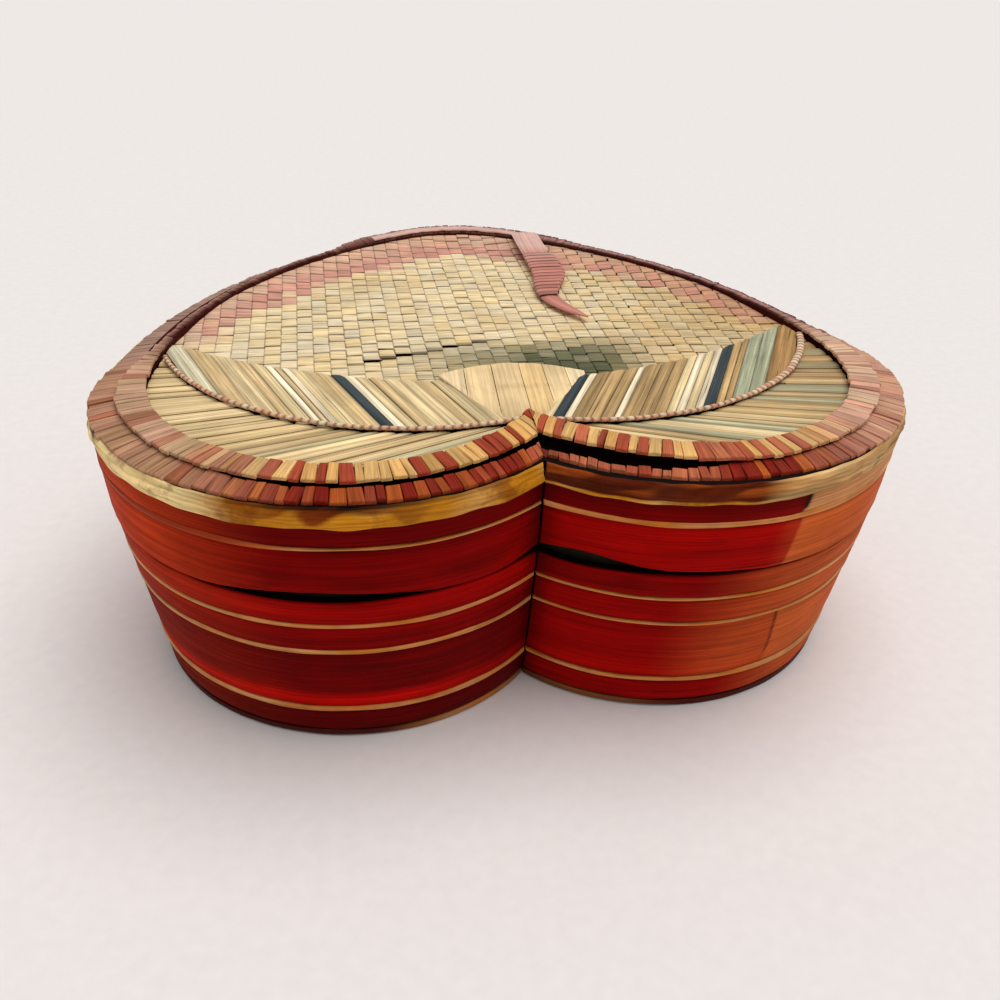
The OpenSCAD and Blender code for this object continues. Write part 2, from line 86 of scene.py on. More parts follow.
# Slopes of the walls: the lid's leans in by 4 degrees and the base's by 9
SKIRT_LEAN, BASE_LEAN = math.tan(math.radians(4)), math.tan(math.radians(9))

# Straw picture: offset of the sheet's edge, the fan, the arcs of the cords and of the wings' upper edges, and
# the point that the border straws spread from
SHEET_OFF = -13.8
FAN_C, FAN_R = np.array([0.0, -63.81]), 33.0
CORD_C, CORD_R = np.array([22.0, 2.11]), 69.5
SWAG_C, SWAG_R = np.array([0.0, 91.69]), 133.0
BORDER_POLE = np.array([-83.0, -26.0])

# Pull tab: its fold on the rim, its slope down to the sheet, and the lengths of its root, body and point
HINGE, TAB_SLOPE = np.array([25.5, 75.6947, 76.2]), math.radians(1.996)
TAB_ROOT, TAB_BODY, TAB_POINT = 2.6, 58, 20


def linear(hex_colour):
    """sRGB hex to linear RGBA: c / 12.92 below 0.04045, else ((c + 0.055) / 1.055) to the power 2.4."""
    c = np.array([int(hex_colour[i : i + 2], 16) for i in (1, 3, 5)]) / 255
    return (*np.where(c <= 0.04045, c / 12.92, ((c + 0.055) / 1.055) ** 2.4), 1.0)


def tint(label, description, hex_colour):
    """A colour property whose default is written in hex."""
    return FloatVectorProperty(
        name=label, description=description, default=linear(hex_colour), size=4, min=0, max=1, subtype="COLOR"
    )


def length(label, description, value, low, high):
    """A length property, written in millimetres and kept in metres."""
    return FloatProperty(
        name=label, description=description, default=value * MM, min=low * MM, max=high * MM,
        precision=5, subtype="DISTANCE", unit="LENGTH",
    )


class StrawBoxSizes(bpy.types.PropertyGroup):
    """Sizes of the leaf and straw pieces."""

    strip_t: length("Leaf strip", "Thickness of a leaf strip on the wall", 0.8, 0.3, 1.2)
    tile_w: length("Edging straw", "Mean width of an edging straw", 2.8, 2, 5)
    tile_t: length("Edging thickness", "Thickness of an edging straw", 0.9, 0.5, 1.3)
    warp_w: length("Warp pitch", "Distance between plaited strips along the lid", 4.35, 3, 6)
    weft_w: length("Weft pitch", "Distance between plaited strips across the lid", 6.0, 3, 8)
    cord_d: length("Cord", "Diameter of the wrapped cord", 1.15, 0.8, 2.0)
    wrap_turns: IntProperty(
        name="Wrapping", description="Turns of leaf round the pull tab", default=14, min=8, max=18
    )


class StrawBoxColours(bpy.types.PropertyGroup):
    """Dyes of the leaf and straw."""

    red: tint("Red leaf", "Dyed leaf on the walls", "#6a0000")
    bright_red: tint("Bright red leaf", "Freshest dye on the walls", "#bd0600")
    ember: tint("Orange-red leaf", "Red leaf that light has turned orange", "#c43c0c")
    faded: tint("Faded leaf", "Red leaf bleached by light", "#c85c28")
    gold: tint("Natural line", "Undyed leaf in the lines on the walls", "#cb762b")
    rim: tint("Rim band", "Undyed leaf of the rim band", "#c8821a")
    cream: tint("Cream straw", "Palest straw", "#f3e0bd")
    straw: tint("Straw", "Undyed straw", "#e2c897")
    tan: tint("Tan straw", "Darker undyed straw", "#c6a26e")
    brick: tint("Brick straw", "Red straw of the edging", "#a8462c")
    amber: tint("Amber straw", "Orange straw of the edging", "#d8984e")
    blue: tint("Blue straw", "Dark blue straw of the picture", "#414a4d")
    green: tint("Grey-green straw", "Grey-green straw of the picture", "#adae8e")
    pink: tint("Pink leaf", "Leaf of the pull tab", "#c8806f")
    card: tint("Card", "Brown card under the straw", "#6b4a2c")
    floor: tint("Floor", "Floor under the box", "#efe9e6")


def rise(x, low, high):
    """Smooth step from 0 at low to 1 at high: u * u * (3 - 2 u)."""
    u = np.clip((x - low) / (high - low), 0, 1)
    return u * u * (3 - 2 * u)


def hump(x, middle, half):
    """Smooth hump of height 1 at middle that falls to 0 a distance half away: (1 + cos) / 2."""
    return 0.5 + 0.5 * np.cos(np.pi * np.clip((x - middle) / half, -1, 1))


def wander(x, pitch, seed):
    """Smooth wandering between -1 and 1: three sines of lengths near pitch, with seeded phases."""
    phase = default_rng(seed).uniform(0, 2 * np.pi, 3)
    return sum(np.sin(2 * np.pi * x / (pitch * f) + p) for f, p in zip((1.0, 0.61, 0.37), phase)) / 3


def patches(x, y, pitch, seed):
    """Smooth patches between about -1 and 1: six plane waves in seeded directions, of lengths near pitch."""
    r = default_rng(seed)
    turn, phase = r.uniform(0, np.pi, 6), r.uniform(0, 2 * np.pi, 6)
    waves = zip(turn, phase, pitch * r.uniform(0.6, 1.5, 6))
    return sum(np.sin(2 * np.pi * (x * math.cos(a) + y * math.sin(a)) / s + p) for a, p, s in waves) / 3


def mix(a, b, share):
    """Colour a to colour b by share: a * (1 - share) + b * share, for arrays of shares."""
    share = np.asarray(share, float)[..., None]
    return np.asarray(a)[..., :3] * (1 - share) + np.asarray(b)[..., :3] * share


def rgb(*colours):
    """Red, green and blue of each colour, as arrays."""
    return [np.array(c[:3]) for c in colours]


def stack(*parts):
    """Arrays brought to one shape and set side by side along a new last axis."""
    return np.stack(np.broadcast_arrays(*parts), -1)


def heart(t, d, ray=None, twist=0.0):
    """Point and outward direction on the heart's outline moved out by d.

    A half is three arcs that touch: lobe, flank and tip. A point is centre + (radius + d) * (cos a, sin a),
    where a grows evenly with t along each arc. On the lobe it starts where the moved arc meets the middle
    plane, or where offset ray does, so that all offsets share the same rays. These turn by the angle twist
    per millimetre of offset. No point crosses the middle plane."""
    t, d, twist = np.broadcast_arrays(np.asarray(t, float), np.asarray(d, float), np.asarray(twist, float))
    side, t = np.where(t < 0, -1.0, 1.0), np.abs(t)
    start = math.pi + np.arccos(LOBE_C[0] / (LOBE_R + (d if ray is None else ray)))
    lobe = start + np.clip(t / LOBE_T, 0, 1) * (2 * math.pi + LOBE_END - start)
    lobe = lobe + (0 if ray is None else twist * (d - ray))
    flank = LOBE_END + (t - LOBE_T) / (FLANK_T - LOBE_T) * (FLANK_END - LOBE_END)
    tip = FLANK_END + (t - FLANK_T) / (1 - FLANK_T) * (math.pi / 2 - FLANK_END)
    arcs = [t <= LOBE_T, t <= FLANK_T]
    a = np.select(arcs, [lobe, flank], tip)
    r = np.select(arcs, [LOBE_R, FLANK_R], TIP_R) + d
    x = np.select(arcs, [LOBE_C[0], FLANK_C[0]], TIP_C[0]) + r * np.cos(a)
    y = np.select(arcs, [LOBE_C[1], FLANK_C[1]], TIP_C[1]) + r * np.sin(a)
    return side * np.maximum(x, 0), y, side * np.cos(a), np.sin(a)


def inset(x, y):
    """Distance inwards from the outline: radius less distance from the centre, of the arc on that ray."""
    x = np.abs(x)
    turn = np.arctan2(y - FLANK_C[1], x - FLANK_C[0])
    arcs = ((LOBE_C, LOBE_R), (FLANK_C, FLANK_R), (TIP_C, TIP_R))
    lobe, flank, tip = (r - np.hypot(x - c[0], y - c[1]) for c, r in arcs)
    return np.select([turn < LOBE_END, turn < FLANK_END], [lobe, flank], tip)


def crossing(start, along, centre, radius, sign):
    """Distance b along a line to a circle: |start + b * along - centre| = radius, the root with that sign."""
    p = start - centre
    m = (p * along).sum(-1)
    return -m + sign * np.sqrt(np.maximum(0, m * m - (p * p).sum(-1) + radius * radius))


def half_chord(radius, x):
    """Half the chord of a circle at the distance x from its centre: sqrt(radius^2 - x^2), and 0 outside."""
    return np.sqrt(np.maximum(0, radius**2 - x**2))


def half_width(y, d):
    """Half width of the heart at y, at offset d, on the lobe's, the flank's or the tip's arc."""
    joint = FLANK_C[1] + (FLANK_R + d) * math.sin(FLANK_END)
    lobe = LOBE_C[0] + half_chord(LOBE_R + d, y - LOBE_C[1])
    flank = FLANK_C[0] + half_chord(FLANK_R + d, y - FLANK_C[1])
    return np.select([y < LOBE_C[1], y < joint], [lobe, flank], half_chord(TIP_R + d, y - TIP_C[1]))


def notch(y, d):
    """Half width of the notch in front of the cleft at y, at offset d."""
    return np.maximum(LOBE_C[0] - half_chord(LOBE_R + d, y - LOBE_C[1]), 0.3)


def cleft_line(d):
    """Depth of the cleft at offset d: where the lobe's arc meets the middle plane."""
    return LOBE_C[1] - half_chord(LOBE_R + d, LOBE_C[0])


def far_edge(x, d):
    """Far edge of the heart at x, at offset d, on the flank's or the tip's arc."""
    x = np.abs(x)
    joint = FLANK_C[0] + (FLANK_R + d) * math.cos(FLANK_END)
    flank = FLANK_C[1] + half_chord(FLANK_R + d, x - FLANK_C[0])
    return np.where(x > joint, flank, TIP_C[1] + half_chord(TIP_R + d, x))


def near_edge(x, d):
    """Near edge of the heart at x, at offset d: the lobe's arc."""
    x = np.clip(np.abs(x), LOBE_C[0] - LOBE_R - d + 0.1, LOBE_C[0] + LOBE_R + d - 0.1)
    return LOBE_C[1] - half_chord(LOBE_R + d, x - LOBE_C[0])


def cord_y(x):
    """Lower edge of the plaited sheet: the arcs that the two cords follow."""
    return CORD_C[1] - half_chord(CORD_R, np.abs(x) - CORD_C[0])


def skirt_off(z):
    """Offset of the lid's wall at height z: it leans in below the rim."""
    return -(RIM_Z - z) * SKIRT_LEAN


def base_off(z):
    """Offset of the base's wall at height z: set back 0.4 under the lid, it leans in."""
    return skirt_off(SKIRT_Z) - 0.4 - (SEAM_Z - z) * BASE_LEAN


def back_share(t):
    """How far the rim's top has turned down at t: 0 in front, and 1 from the flanks round the back."""
    return rise(np.abs(t), 0.40, 0.54)


def deck_z(t, d):
    """Top of the lid's board: level to offset -10.4, and round the back turned down by 1.7 at offset -1."""
    return DECK_Z - 1.7 * back_share(t) * np.clip((d + 10.4) / 9.4, 0, 1)


def seam_lift(t):
    """Height that the lid's lower edge stands off along the seam: two long open places in front."""
    return 2.3 * hump(t, -0.175, 0.115) + 2.9 * hump(t, 0.028, 0.075) + 0.9 * hump(t, 0.1, 0.12)


def add(tree, kind, inputs=None, out=0, **settings):
    """Adds a node of that kind, with its settings, and links or sets its inputs. Returns its output out."""
    made = tree.nodes.new(kind)
    for key, value in settings.items():
        setattr(made, key, value)
    for key, value in (inputs or {}).items():
        if isinstance(value, bpy.types.NodeSocket):
            tree.links.new(value, made.inputs[key])
        else:
            made.inputs[key].default_value = value
    return made.outputs[out] if made.outputs else None


def blank(name):
    """A new material with an empty node tree, and that tree."""
    material = bpy.data.materials.new(name)
    material.use_nodes = True
    material.node_tree.nodes.clear()
    return material, material.node_tree


def leaf_finish(name, fibre, vein, relief, rough, depth=0.35, cracks=0.0, stain=0.0, gloss=0.3):
    """Dried leaf or straw, dyed or plain, with fibres along the piece.

    The eye sees fine fibres and broader veins along the strip, patchy dye, dark hairline cracks between the
    fibres and a dull sheen. The dye is the piece's own colour attribute. fibre and vein are (length, width)
    in mm on the piece's grain map, as coarse as they need to be to show. relief is their height in mm, and
    depth how dark they are. Patches of the dye are about 14 mm across."""
    material, tree = blank(name)
    dye = add(tree, "ShaderNodeAttribute", attribute_name="dye")
    uv = add(tree, "ShaderNodeUVMap", uv_map="grain")
    place = add(tree, "ShaderNodeTexCoord", out="Object")
    noise = {"Scale": 1.0, "Detail": 4.0, "Roughness": 0.6}
    grains = []
    for long, wide in (fibre, vein, (vein[0] * 0.8, fibre[1] * 1.6)):
        scale = (GRAIN_MM / long, GRAIN_MM / wide, 1)
        stretched = add(tree, "ShaderNodeMapping", {"Vector": uv, "Scale": scale})
        grains.append(add(tree, "ShaderNodeTexNoise", {"Vector": stretched, **noise}))
    noise = {"Scale": 1000 / 14.3, "Detail": 5.0, "Roughness": 0.6}
    blotch = add(tree, "ShaderNodeTexNoise", {"Vector": place, **noise})
    span = {**NOISE_SPAN, 3: 1 - 0.8 * depth, 4: 1 + 0.8 * depth}
    shade = add(tree, "ShaderNodeMapRange", {0: grains[0], **span})
    broad = add(tree, "ShaderNodeMapRange", {0: grains[1], **span})
    patch = add(tree, "ShaderNodeMapRange", {0: blotch, **NOISE_SPAN, 3: 0.88, 4: 1.12})
    split = add(tree, "ShaderNodeMapRange", {0: grains[2], 1: 0.62, 2: 0.7, 3: 1.0, 4: 1 - cracks})
    for factor in (broad, patch, split):
        shade = add(tree, "ShaderNodeMath", {0: shade, 1: factor}, operation="MULTIPLY")
    colour = add(tree, "ShaderNodeVectorMath", {0: dye, 3: shade}, operation="SCALE")
    if stain:
        mask = add(tree, "ShaderNodeMapRange", {0: blotch, 1: 0.54, 2: 0.64, 3: 0.0, 4: stain})
        inputs = {0: mask, 6: colour, 7: linear("#6a2604")}
        colour = add(tree, "ShaderNodeMix", inputs, 2, data_type="RGBA")
    height = grains[0]
    for layer in (grains[1], split):
        height = add(tree, "ShaderNodeMath", {0: height, 1: layer}, operation="ADD")
    bump = add(tree, "ShaderNodeBump", {"Strength": 0.8, "Distance": relief * MM, "Height": height})
    inputs = {0: grains[0], **NOISE_SPAN, 3: rough + 0.1, 4: rough - 0.08}
    sheen = add(tree, "ShaderNodeMapRange", inputs)
    look = {"Base Color": colour, "Roughness": sheen, "Normal": bump, "Specular IOR Level": gloss}
    shader = add(tree, "ShaderNodeBsdfPrincipled", look)
    add(tree, "ShaderNodeOutputMaterial", {"Surface": shader})
    return material


def card_finish(name, colour):
    """Pasted card: matt, mottled and fibrous, with specks of 1.2 mm and patches of 22 mm."""
    material, tree = blank(name)
    place = add(tree, "ShaderNodeTexCoord", out="Object")
    inputs = {"Vector": place, "Scale": 1000 / 1.2, "Detail": 6.0, "Roughness": 0.65}
    mottle = add(tree, "ShaderNodeTexNoise", inputs)
    broad = add(tree, "ShaderNodeTexNoise", {"Vector": place, "Scale": 1000 / 22.2, "Detail": 3.0})
    total = add(tree, "ShaderNodeMath", {0: mottle, 1: broad}, operation="MULTIPLY")
    shade = add(tree, "ShaderNodeMapRange", {0: total, 1: 0.1, 2: 0.45, 3: 0.55, 4: 1.25})
    tone = add(tree, "ShaderNodeVectorMath", {0: colour[:3], 3: shade}, operation="SCALE")
    bump = add(tree, "ShaderNodeBump", {"Strength": 0.6, "Distance": 0.06 * MM, "Height": mottle})
    look = {"Base Color": tone, "Roughness": 0.85, "Normal": bump, "Specular IOR Level": 0.1}
    shader = add(tree, "ShaderNodeBsdfPrincipled", look)
    add(tree, "ShaderNodeOutputMaterial", {"Surface": shader})
    return material


def tube_faces(k, n, m, ring):
    """Quads between the rings of k tubes, each of n rings of m points, and the ends of open tubes."""
    i, j = np.arange(n if ring else n - 1)[:, None], np.arange(m)
    low, high = i * m, (i + 1) % n * m
    quads = np.stack([low + j, low + (j + 1) % m, high + (j + 1) % m, high + j], -1).reshape(-1, 4)
    ends = np.array([np.arange(m)[::-1], np.arange(m) + (n - 1) * m])
    shift = (np.arange(k) * n * m)[:, None, None]
    return quads + shift, (ends + shift if not ring else np.zeros((k, 0, m), int))


def add_piece(name, grid, uv, dye, body, nodes, finish, ring=False, crease=38):
    """Makes one object of tubes from grid, an array of (tubes, rings, points round, 3) in mm.

    uv is its grain map and dye its colours. A tube that is inside out, by the sign of its volume, has its
    faces turned round."""
    k, n, m = grid.shape[:3]
    quads, ends = tube_faces(k, n, m, ring)
    flat = grid.reshape(-1, 3)
    p = flat[quads] - grid.mean((1, 2))[:, None, None]
    volume = (np.cross(p[:, :, 1] - p[:, :, 3], p[:, :, 2] - p[:, :, 0]) * p[:, :, 0]).sum((1, 2))
    turned = volume > 0
    quads[turned], ends[turned] = quads[turned][..., ::-1], ends[turned][..., ::-1]
    mesh = bpy.data.meshes.new(name)
    mesh.from_pydata(flat * MM, [], quads.reshape(-1, 4).tolist() + ends.reshape(-1, m).tolist())
    corner = np.empty(len(mesh.loops), int)
    mesh.loops.foreach_get("vertex_index", corner)
    layer = mesh.uv_layers.new(name="grain")
    uv = np.broadcast_to(uv, (k, n, m, 2)).reshape(-1, 2)[corner] / GRAIN_MM
    layer.data.foreach_set("uv", uv.ravel())
    colours = np.ones((k * n * m, 4))
    colours[:, :3] = np.clip(np.broadcast_to(dye, (k, n, m, 3)).reshape(-1, 3), 0, 1)
    mesh.attributes.new("dye", "FLOAT_COLOR", "POINT").data.foreach_set("color", colours.ravel())
    mesh.polygons.foreach_set("use_smooth", np.ones(len(mesh.polygons), bool))
    mesh.set_sharp_from_angle(angle=math.radians(crease))
    mesh.materials.append(finish)
    piece = bpy.data.objects.new(name, mesh)
    bpy.context.scene.collection.objects.link(piece)
    if body:
        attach(piece, body)
    if nodes:
        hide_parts(*nodes)
    return piece


def carry(t, off, z):
    """Points of a profile carried along the outline: offset off and height z at every t."""
    x, y, _, _ = heart(t, off)
    return stack(x, y, z)


def strip_grid(t, low, high, wall, thick, swell, seed, rows=5):
    """A leaf strip along the wall, as offset and height round its section.

    Round the section v runs up the face and back: height low + v (high - low), offset wall(z) less the
    thickness at the back, rounded at the edges, with a cup of 4 v (1 - v) and slow waves along t. rows is the
    number of rows of points between the rounded edges."""
    v = np.concatenate([[0, 0, 0.03], np.linspace(0.14, 0.86, rows), [0.97, 1, 1]])
    back = np.concatenate([[thick, 0.22, 0.05], np.zeros(rows), [0.05, 0.22, thick]])
    s = t[:, None] * HALF_LEN
    z = low + v * (high - low)
    wave = 0.12 * wander(s, 46, seed) + 0.07 * wander(s + 30 * v, 17, seed + 1)
    off = wall(z) - back + (swell * 4 * v * (1 - v) + wave) * (back < 0.3)
    return carry(t[:, None], off, z), stack(s, z + 7.3 * seed), z


def red_dye(t, v, colours, fresh, ember, fade, joint, beyond, seed):
    """Colour of the red leaf at t along the wall and v up the strip.

    fresh runs from deep to bright red, and below 0 it darkens. On the right the leaf bleaches from fade[0] to
    fade[1] by the share fade[2], and past joint it has the colour beyond. The left end turns orange-red by
    the share ember, and the back bleaches."""
    streak = 0.5 * wander(t * HALF_LEN + 170 * v, 75, seed + 3) + 0.5 * wander(v, 0.16, seed + 5)
    fresh = fresh + 0.22 * streak
    dye = mix(colours.red, colours.bright_red, np.clip(fresh, 0, 1))
    dye = dye * (1 + np.clip(fresh, -0.8, 0))[..., None]
    left = ember * rise(-t, 0.19, 0.34) * (1 + 0.3 * streak)
    right = fade[2] * rise(t, fade[0], fade[1]) * (1 + 0.25 * streak)
    dye = mix(dye, colours.ember, np.clip(left, 0, 1))
    dye = mix(dye, colours.faded, np.clip(right, 0, 1))
    dye = mix(dye, beyond, rise(t, joint - 0.002, joint + 0.002))
    dye = mix(dye, colours.faded, 0.6 * rise(-t, 0.42, 0.6))
    return dye * (1 - 0.18 * rise(np.abs(t), 0.42, 0.6))[..., None]


# Red strips: low and high edge, freshness of the dye at these edges on the left and then on the right,
# orange-red share on the left, and bleaching on the right
RED_STRIPS = {
    "base_low_strip": (2.65, 9.65, (-0.25, -0.2, 0.5, 0.4), 0.2, (0.17, 0.25, 0.8)),
    "base_wide_strip": (11.35, 30.25, (1.1, 0.0, 0.8, 0.45), 0.2, (0.1, 0.19, 0.6)),
    "base_middle_strip": (31.35, 38.65, (0.14, 0.2, 0.55, 0.45), 0.3, (0.1, 0.23, 0.85)),
    "base_upper_strip": (39.75, 46.9, (0.45, 0.5, 0.35, 0.15), 0.5, (0.12, 0.25, 0.8)),
    "skirt_wide_strip": (47.45, 61.1, (0.32, 0.15, 0.6, 0.5), 0.9, (0.17, 0.19, 0.2)),
    "skirt_narrow_strip": (62.1, 67.35, (0.0, -0.05, 0.12, 0.0), 0.9, (0.3, 0.4, 0.1)),
}
# Joints of the strips on the right: place and slant along t, depth and width of the dark edge
JOINTS = {
    "base_wide_strip": (0.212, -0.01, 0.85, 0.45),
    "skirt_wide_strip": (0.19, 0.006, 0, 1),
    "skirt_narrow_strip": (0.192, 0.003, 0.97, 0.9),
}
# A strip without a joint has it past the tip
NO_JOINT = (2, 0, 0, 1)


class STRAWBOX_OT_leaf_strips(bpy.types.Operator):
    """Red leaf strips round the base and the lid, in left and right lengths"""

    bl_idname = "strawbox.leaf_strips"
    bl_label = "Leaf Strips"

    def execute(self, context):
        sizes, colours = context.scene.straw_box_sizes, context.scene.straw_box_colours
        # Dyed palm leaf: long fibres under streaky dye, hairline cracks and hardly any gloss
        finish = leaf_finish(
            "dyed palm leaf", fibre=(30, 0.42), vein=(85, 1.5), relief=0.09, rough=0.6,
            depth=0.3, cracks=0.6, gloss=0.03,
        )
        tan = mix(colours.faded, colours.tan, 0.55)
        for k, (node, row) in enumerate(RED_STRIPS.items()):
            low, high, fresh, ember, fade = row
            joint, slant, depth, width = JOINTS.get(node, NO_JOINT)
            body, wall = ("lid", skirt_off) if node.startswith("skirt") else ("base", base_off)
            beyond = tan if node == "skirt_narrow_strip" else colours.faded
            for (name, side), near, far in zip(SIDES, fresh[::2], fresh[1::2]):
                # Points lie closer at the joint, so that its edge is sharp
                close = joint % 1 + np.linspace(-0.008, 0.008, 17)
                t = np.append(np.linspace(T_FIRST, T_LAST, 200), close)
                t = side * np.unique(np.clip(t, T_FIRST, T_LAST))
                lift = seam_lift(t)[:, None]
                start = low + lift * (node == "skirt_wide_strip")
                stop = high - 0.3 * lift * (node == "base_upper_strip")
                seed = 20 * k + int(side > 0)
                grid, uv, z = strip_grid(t, start, stop, wall, sizes.strip_t / MM, swell=0.15, seed=seed)
                along = np.broadcast_to(t[:, None], z.shape)
                v = np.clip((z - low) / (high - low), 0, 1)
                upper = rise(v, 0.13, 0.27)
                level = near + (far - near) * upper
                level = level - 0.5 * (near > 1) * rise(along, -0.14, -0.03) * (1 - upper)
                place = joint + slant * (v - 0.5)
                dye = red_dye(along, v, colours, level, ember, fade, place, beyond, seed)
                seam = depth * np.exp(-(((along - place) * HALF_LEN / width) ** 2)) * rise(v, 0.1, 0.3)
                # Darker along the strip's top and bottom edges, and painted shade near the cleft, where the
                # wall turns in
                edge_dark_and_cleft_shade = 0.35 * (1 - rise(v, 0, 0.06) * rise(1 - v, 0, 0.06))
                edge_dark_and_cleft_shade = edge_dark_and_cleft_shade + 0.5 * (1 - rise(np.abs(along), 0.001, 0.02))
                dye = dye * ((1 - seam) * (1 - edge_dark_and_cleft_shade))[..., None]
                label = f"{node}_{name}"
                add_piece(f"{label}_leaf", grid[None], uv, dye, body, [label], finish)
        return {"FINISHED"}


# Natural lines: low and high edge, crown, and share of that width that shows on the left and on the right
NATURAL_LINES = {
    "base_low_line": (9.4, 11.6, 0.34, 0.75, 0.5),
    "base_middle_line": (30.0, 31.6, 0.3, 0.85, 0.5),
    "base_upper_line": (38.4, 40.0, 0.3, 0.75, 0.46),
    "skirt_line": (60.8, 62.4, 0.3, 0.32, 0.88),
    "foot_binding": (0.2, 2.55, 0.1, 0.75, 0.75),
}


class STRAWBOX_OT_natural_lines(bpy.types.Operator):
    """Natural straw lines between the red strips, and the binding of the foot"""

    bl_idname = "strawbox.natural_lines"
    bl_label = "Natural Lines"

    def execute(self, context):
        sizes, colours = context.scene.straw_box_sizes, context.scene.straw_box_colours
        # Undyed straw: narrow and golden, with fine fibres and a faint gloss
        finish = leaf_finish(
            "undyed straw", fibre=(26, 0.4), vein=(60, 1.4), relief=0.05, rough=0.6,
            depth=0.3, cracks=0.4, gloss=0.1,
        )
        v = np.array([0, 0, 0.15, 0.5, 0.85, 1, 1])
        face = np.array([-1.0, 0.0, 0.72, 1.0, 0.72, 0.0, -1.0])
        for k, (node, (low, high, crown, *widths)) in enumerate(NATURAL_LINES.items()):
            body, wall = ("lid", skirt_off) if node.startswith("skirt") else ("base", base_off)
            for (name, side), width in zip(SIDES, widths):
                t = side * np.linspace(T_FIRST, T_LAST, 190)[:, None]
                s = t * HALF_LEN
                middle = (low + high) / 2 + 0.2 * wander(s, 85, k)
                # The lid's line is worn away on the left, and the lowest one is broader on the right
                worn = rise(-t, 0.16, 0.24) * (node == "skirt_line")
                broad = rise(t, 0.14, 0.24) * (0.5 if node == "base_low_line" else 0.2)
                share = width + 0.12 * wander(s, 38, k + 9) * (1 - worn) + broad + (1 - width) * worn
                z = np.maximum(middle + (2 * v - 1) * (high - low) / 2 * share, 0.05)
                off = wall(z) + np.where(face < 0, -sizes.strip_t / MM, crown * face)
                pale = np.clip(0.3 + 0.35 * wander(s, 52, k + 5) + 0.5 * rise(np.abs(s), 60, 110), 0, 1)
                dye = mix(colours.gold, colours.straw, pale * 0.4)
                dye = dye * (0.95 + 0.12 * wander(s, 13, k + 2))[..., None]
                dye = mix(dye, 0.6 * np.array(colours.ember), 0.95 * worn)
                dye = mix(dye, colours.tan, 0.6 * rise(t, 0.4, 0.6))
                if node == "foot_binding":
                    # The binding is dark red-brown all round, and golden only in front, more on the left
                    golden_front = hump(np.abs(t), 0.06, 0.1) * (0.9 if side < 0 else 0.35)
                    dye = mix(linear("#4a1208"), dye, golden_front)
                grid, uv, label = carry(t, off, z), stack(s, z), f"{node}_{name}"
                add_piece(f"{label}_straw", grid[None], uv, dye, body, [label], finish)
        return {"FINISHED"}


class STRAWBOX_OT_rim_band(bpy.types.Operator):
    """Wrinkled natural leaf band round the top of the lid's wall"""

    bl_idname = "strawbox.rim_band"
    bl_label = "Rim Band"

    def execute(self, context):
        sizes, colours = context.scene.straw_box_sizes, context.scene.straw_box_colours
        # Varnished palm leaf: wrinkled and golden, with brown stains
        finish = leaf_finish(
            "varnished palm leaf", fibre=(22, 0.6), vein=(40, 2.0), relief=0.2, rough=0.5,
            depth=0.36, cracks=0.5, stain=0.6, gloss=0.05,
        )
        # Past the front right, the band is several leaves deep, and their edges show as steps
        leaves_deep = 4
        for name, side in SIDES:
            t = side * np.linspace(T_FIRST, T_LAST, 320)
            s, round_t = t[:, None] * HALF_LEN, t[:, None]
            low = 66.9 + 0.4 * wander(s, 33, 3) + 0.3 * rise(np.abs(round_t), 0.25, 0.4)
            high = 72.0 + 0.2 * wander(s, 21, 4) - 2.0 * back_share(round_t)
            grid, uv, z = strip_grid(t, low, high, skirt_off, sizes.strip_t / MM, swell=0.1, seed=40, rows=17)
            v = (z - low) / (high - low)
            right = rise(round_t, 0.15, 0.19)
            step = np.round(v * leaves_deep) - v * leaves_deep
            crumple = 0.4 * patches(s, 3 * z, 13, 6) * rise(v, 0, 0.2) * (1 - rise(v, 0.8, 1))
            crumple = crumple + 0.25 - 0.45 * rise(v, 0.6, 1) + 0.25 * right * step
            _, _, nx, ny = heart(round_t, 0)
            grid[..., 0] += nx * crumple
            grid[..., 1] += ny * crumple

            # Golden in front and pale on the left, with a brown stain under the straws
            pale = np.clip(0.95 * rise(-round_t, 0.2, 0.3) + 0.3 * patches(s, z, 30, 8), 0, 1)
            dye = mix(colours.rim, linear("#f8da9a"), pale)
            upper = rise(v + 0.35 * patches(s, 2 * z, 15, 13), 0.45, 0.75) * hump(round_t, -0.16, 0.1)
            dye = mix(dye, linear("#741f05"), 0.9 * upper)
            # Worn to dark red and rust in front on the right, and then its leaves' edges
            worn = (1 - right) * (side > 0) * rise(v, 0.13, 0.24)
            rust = rise(patches(s, 4 * z, 18, 9), 0.0, 0.8) * rise(v, 0.3, 0.6)
            dye = mix(dye, mix(linear("#4a0402"), linear("#933f0e"), rust), 0.96 * worn)
            leaves = 1.16 * mix(colours.tan, linear("#b58450"), 0.5 + 0.5 * patches(s, 6 * z, 26, 11))
            lines = 0.45 * np.exp(-((step / 0.16) ** 2)) * rise(v, 0.06, 0.15) * rise(1 - v, 0.06, 0.15)
            dye = mix(dye, leaves * (1 - lines)[..., None], 0.96 * right)
            # Painted shade: in front on the left the band's top edge is nearly black, as the shadow under the
            # lower tier of straws
            dye = dye * (1 - 0.9 * rise(v, 0.88, 0.96) * hump(round_t, -0.15, 0.16))[..., None]
            # One dark tear at the far left
            tear = hump(round_t, -0.375, 0.02) * rise(v, 0.1, 0.5)
            dye = mix(dye, linear("#14161c"), 0.95 * tear)
            node = f"rim_band_{name}"
            add_piece(f"{node}_leaf", grid[None], uv, dye, "lid", [node], finish)
        return {"FINISHED"}


# Points along an edging straw, from its inner end to its outer end
STRAW_POINTS = np.array([0, 0.03, 0.5, 0.97, 1.0])
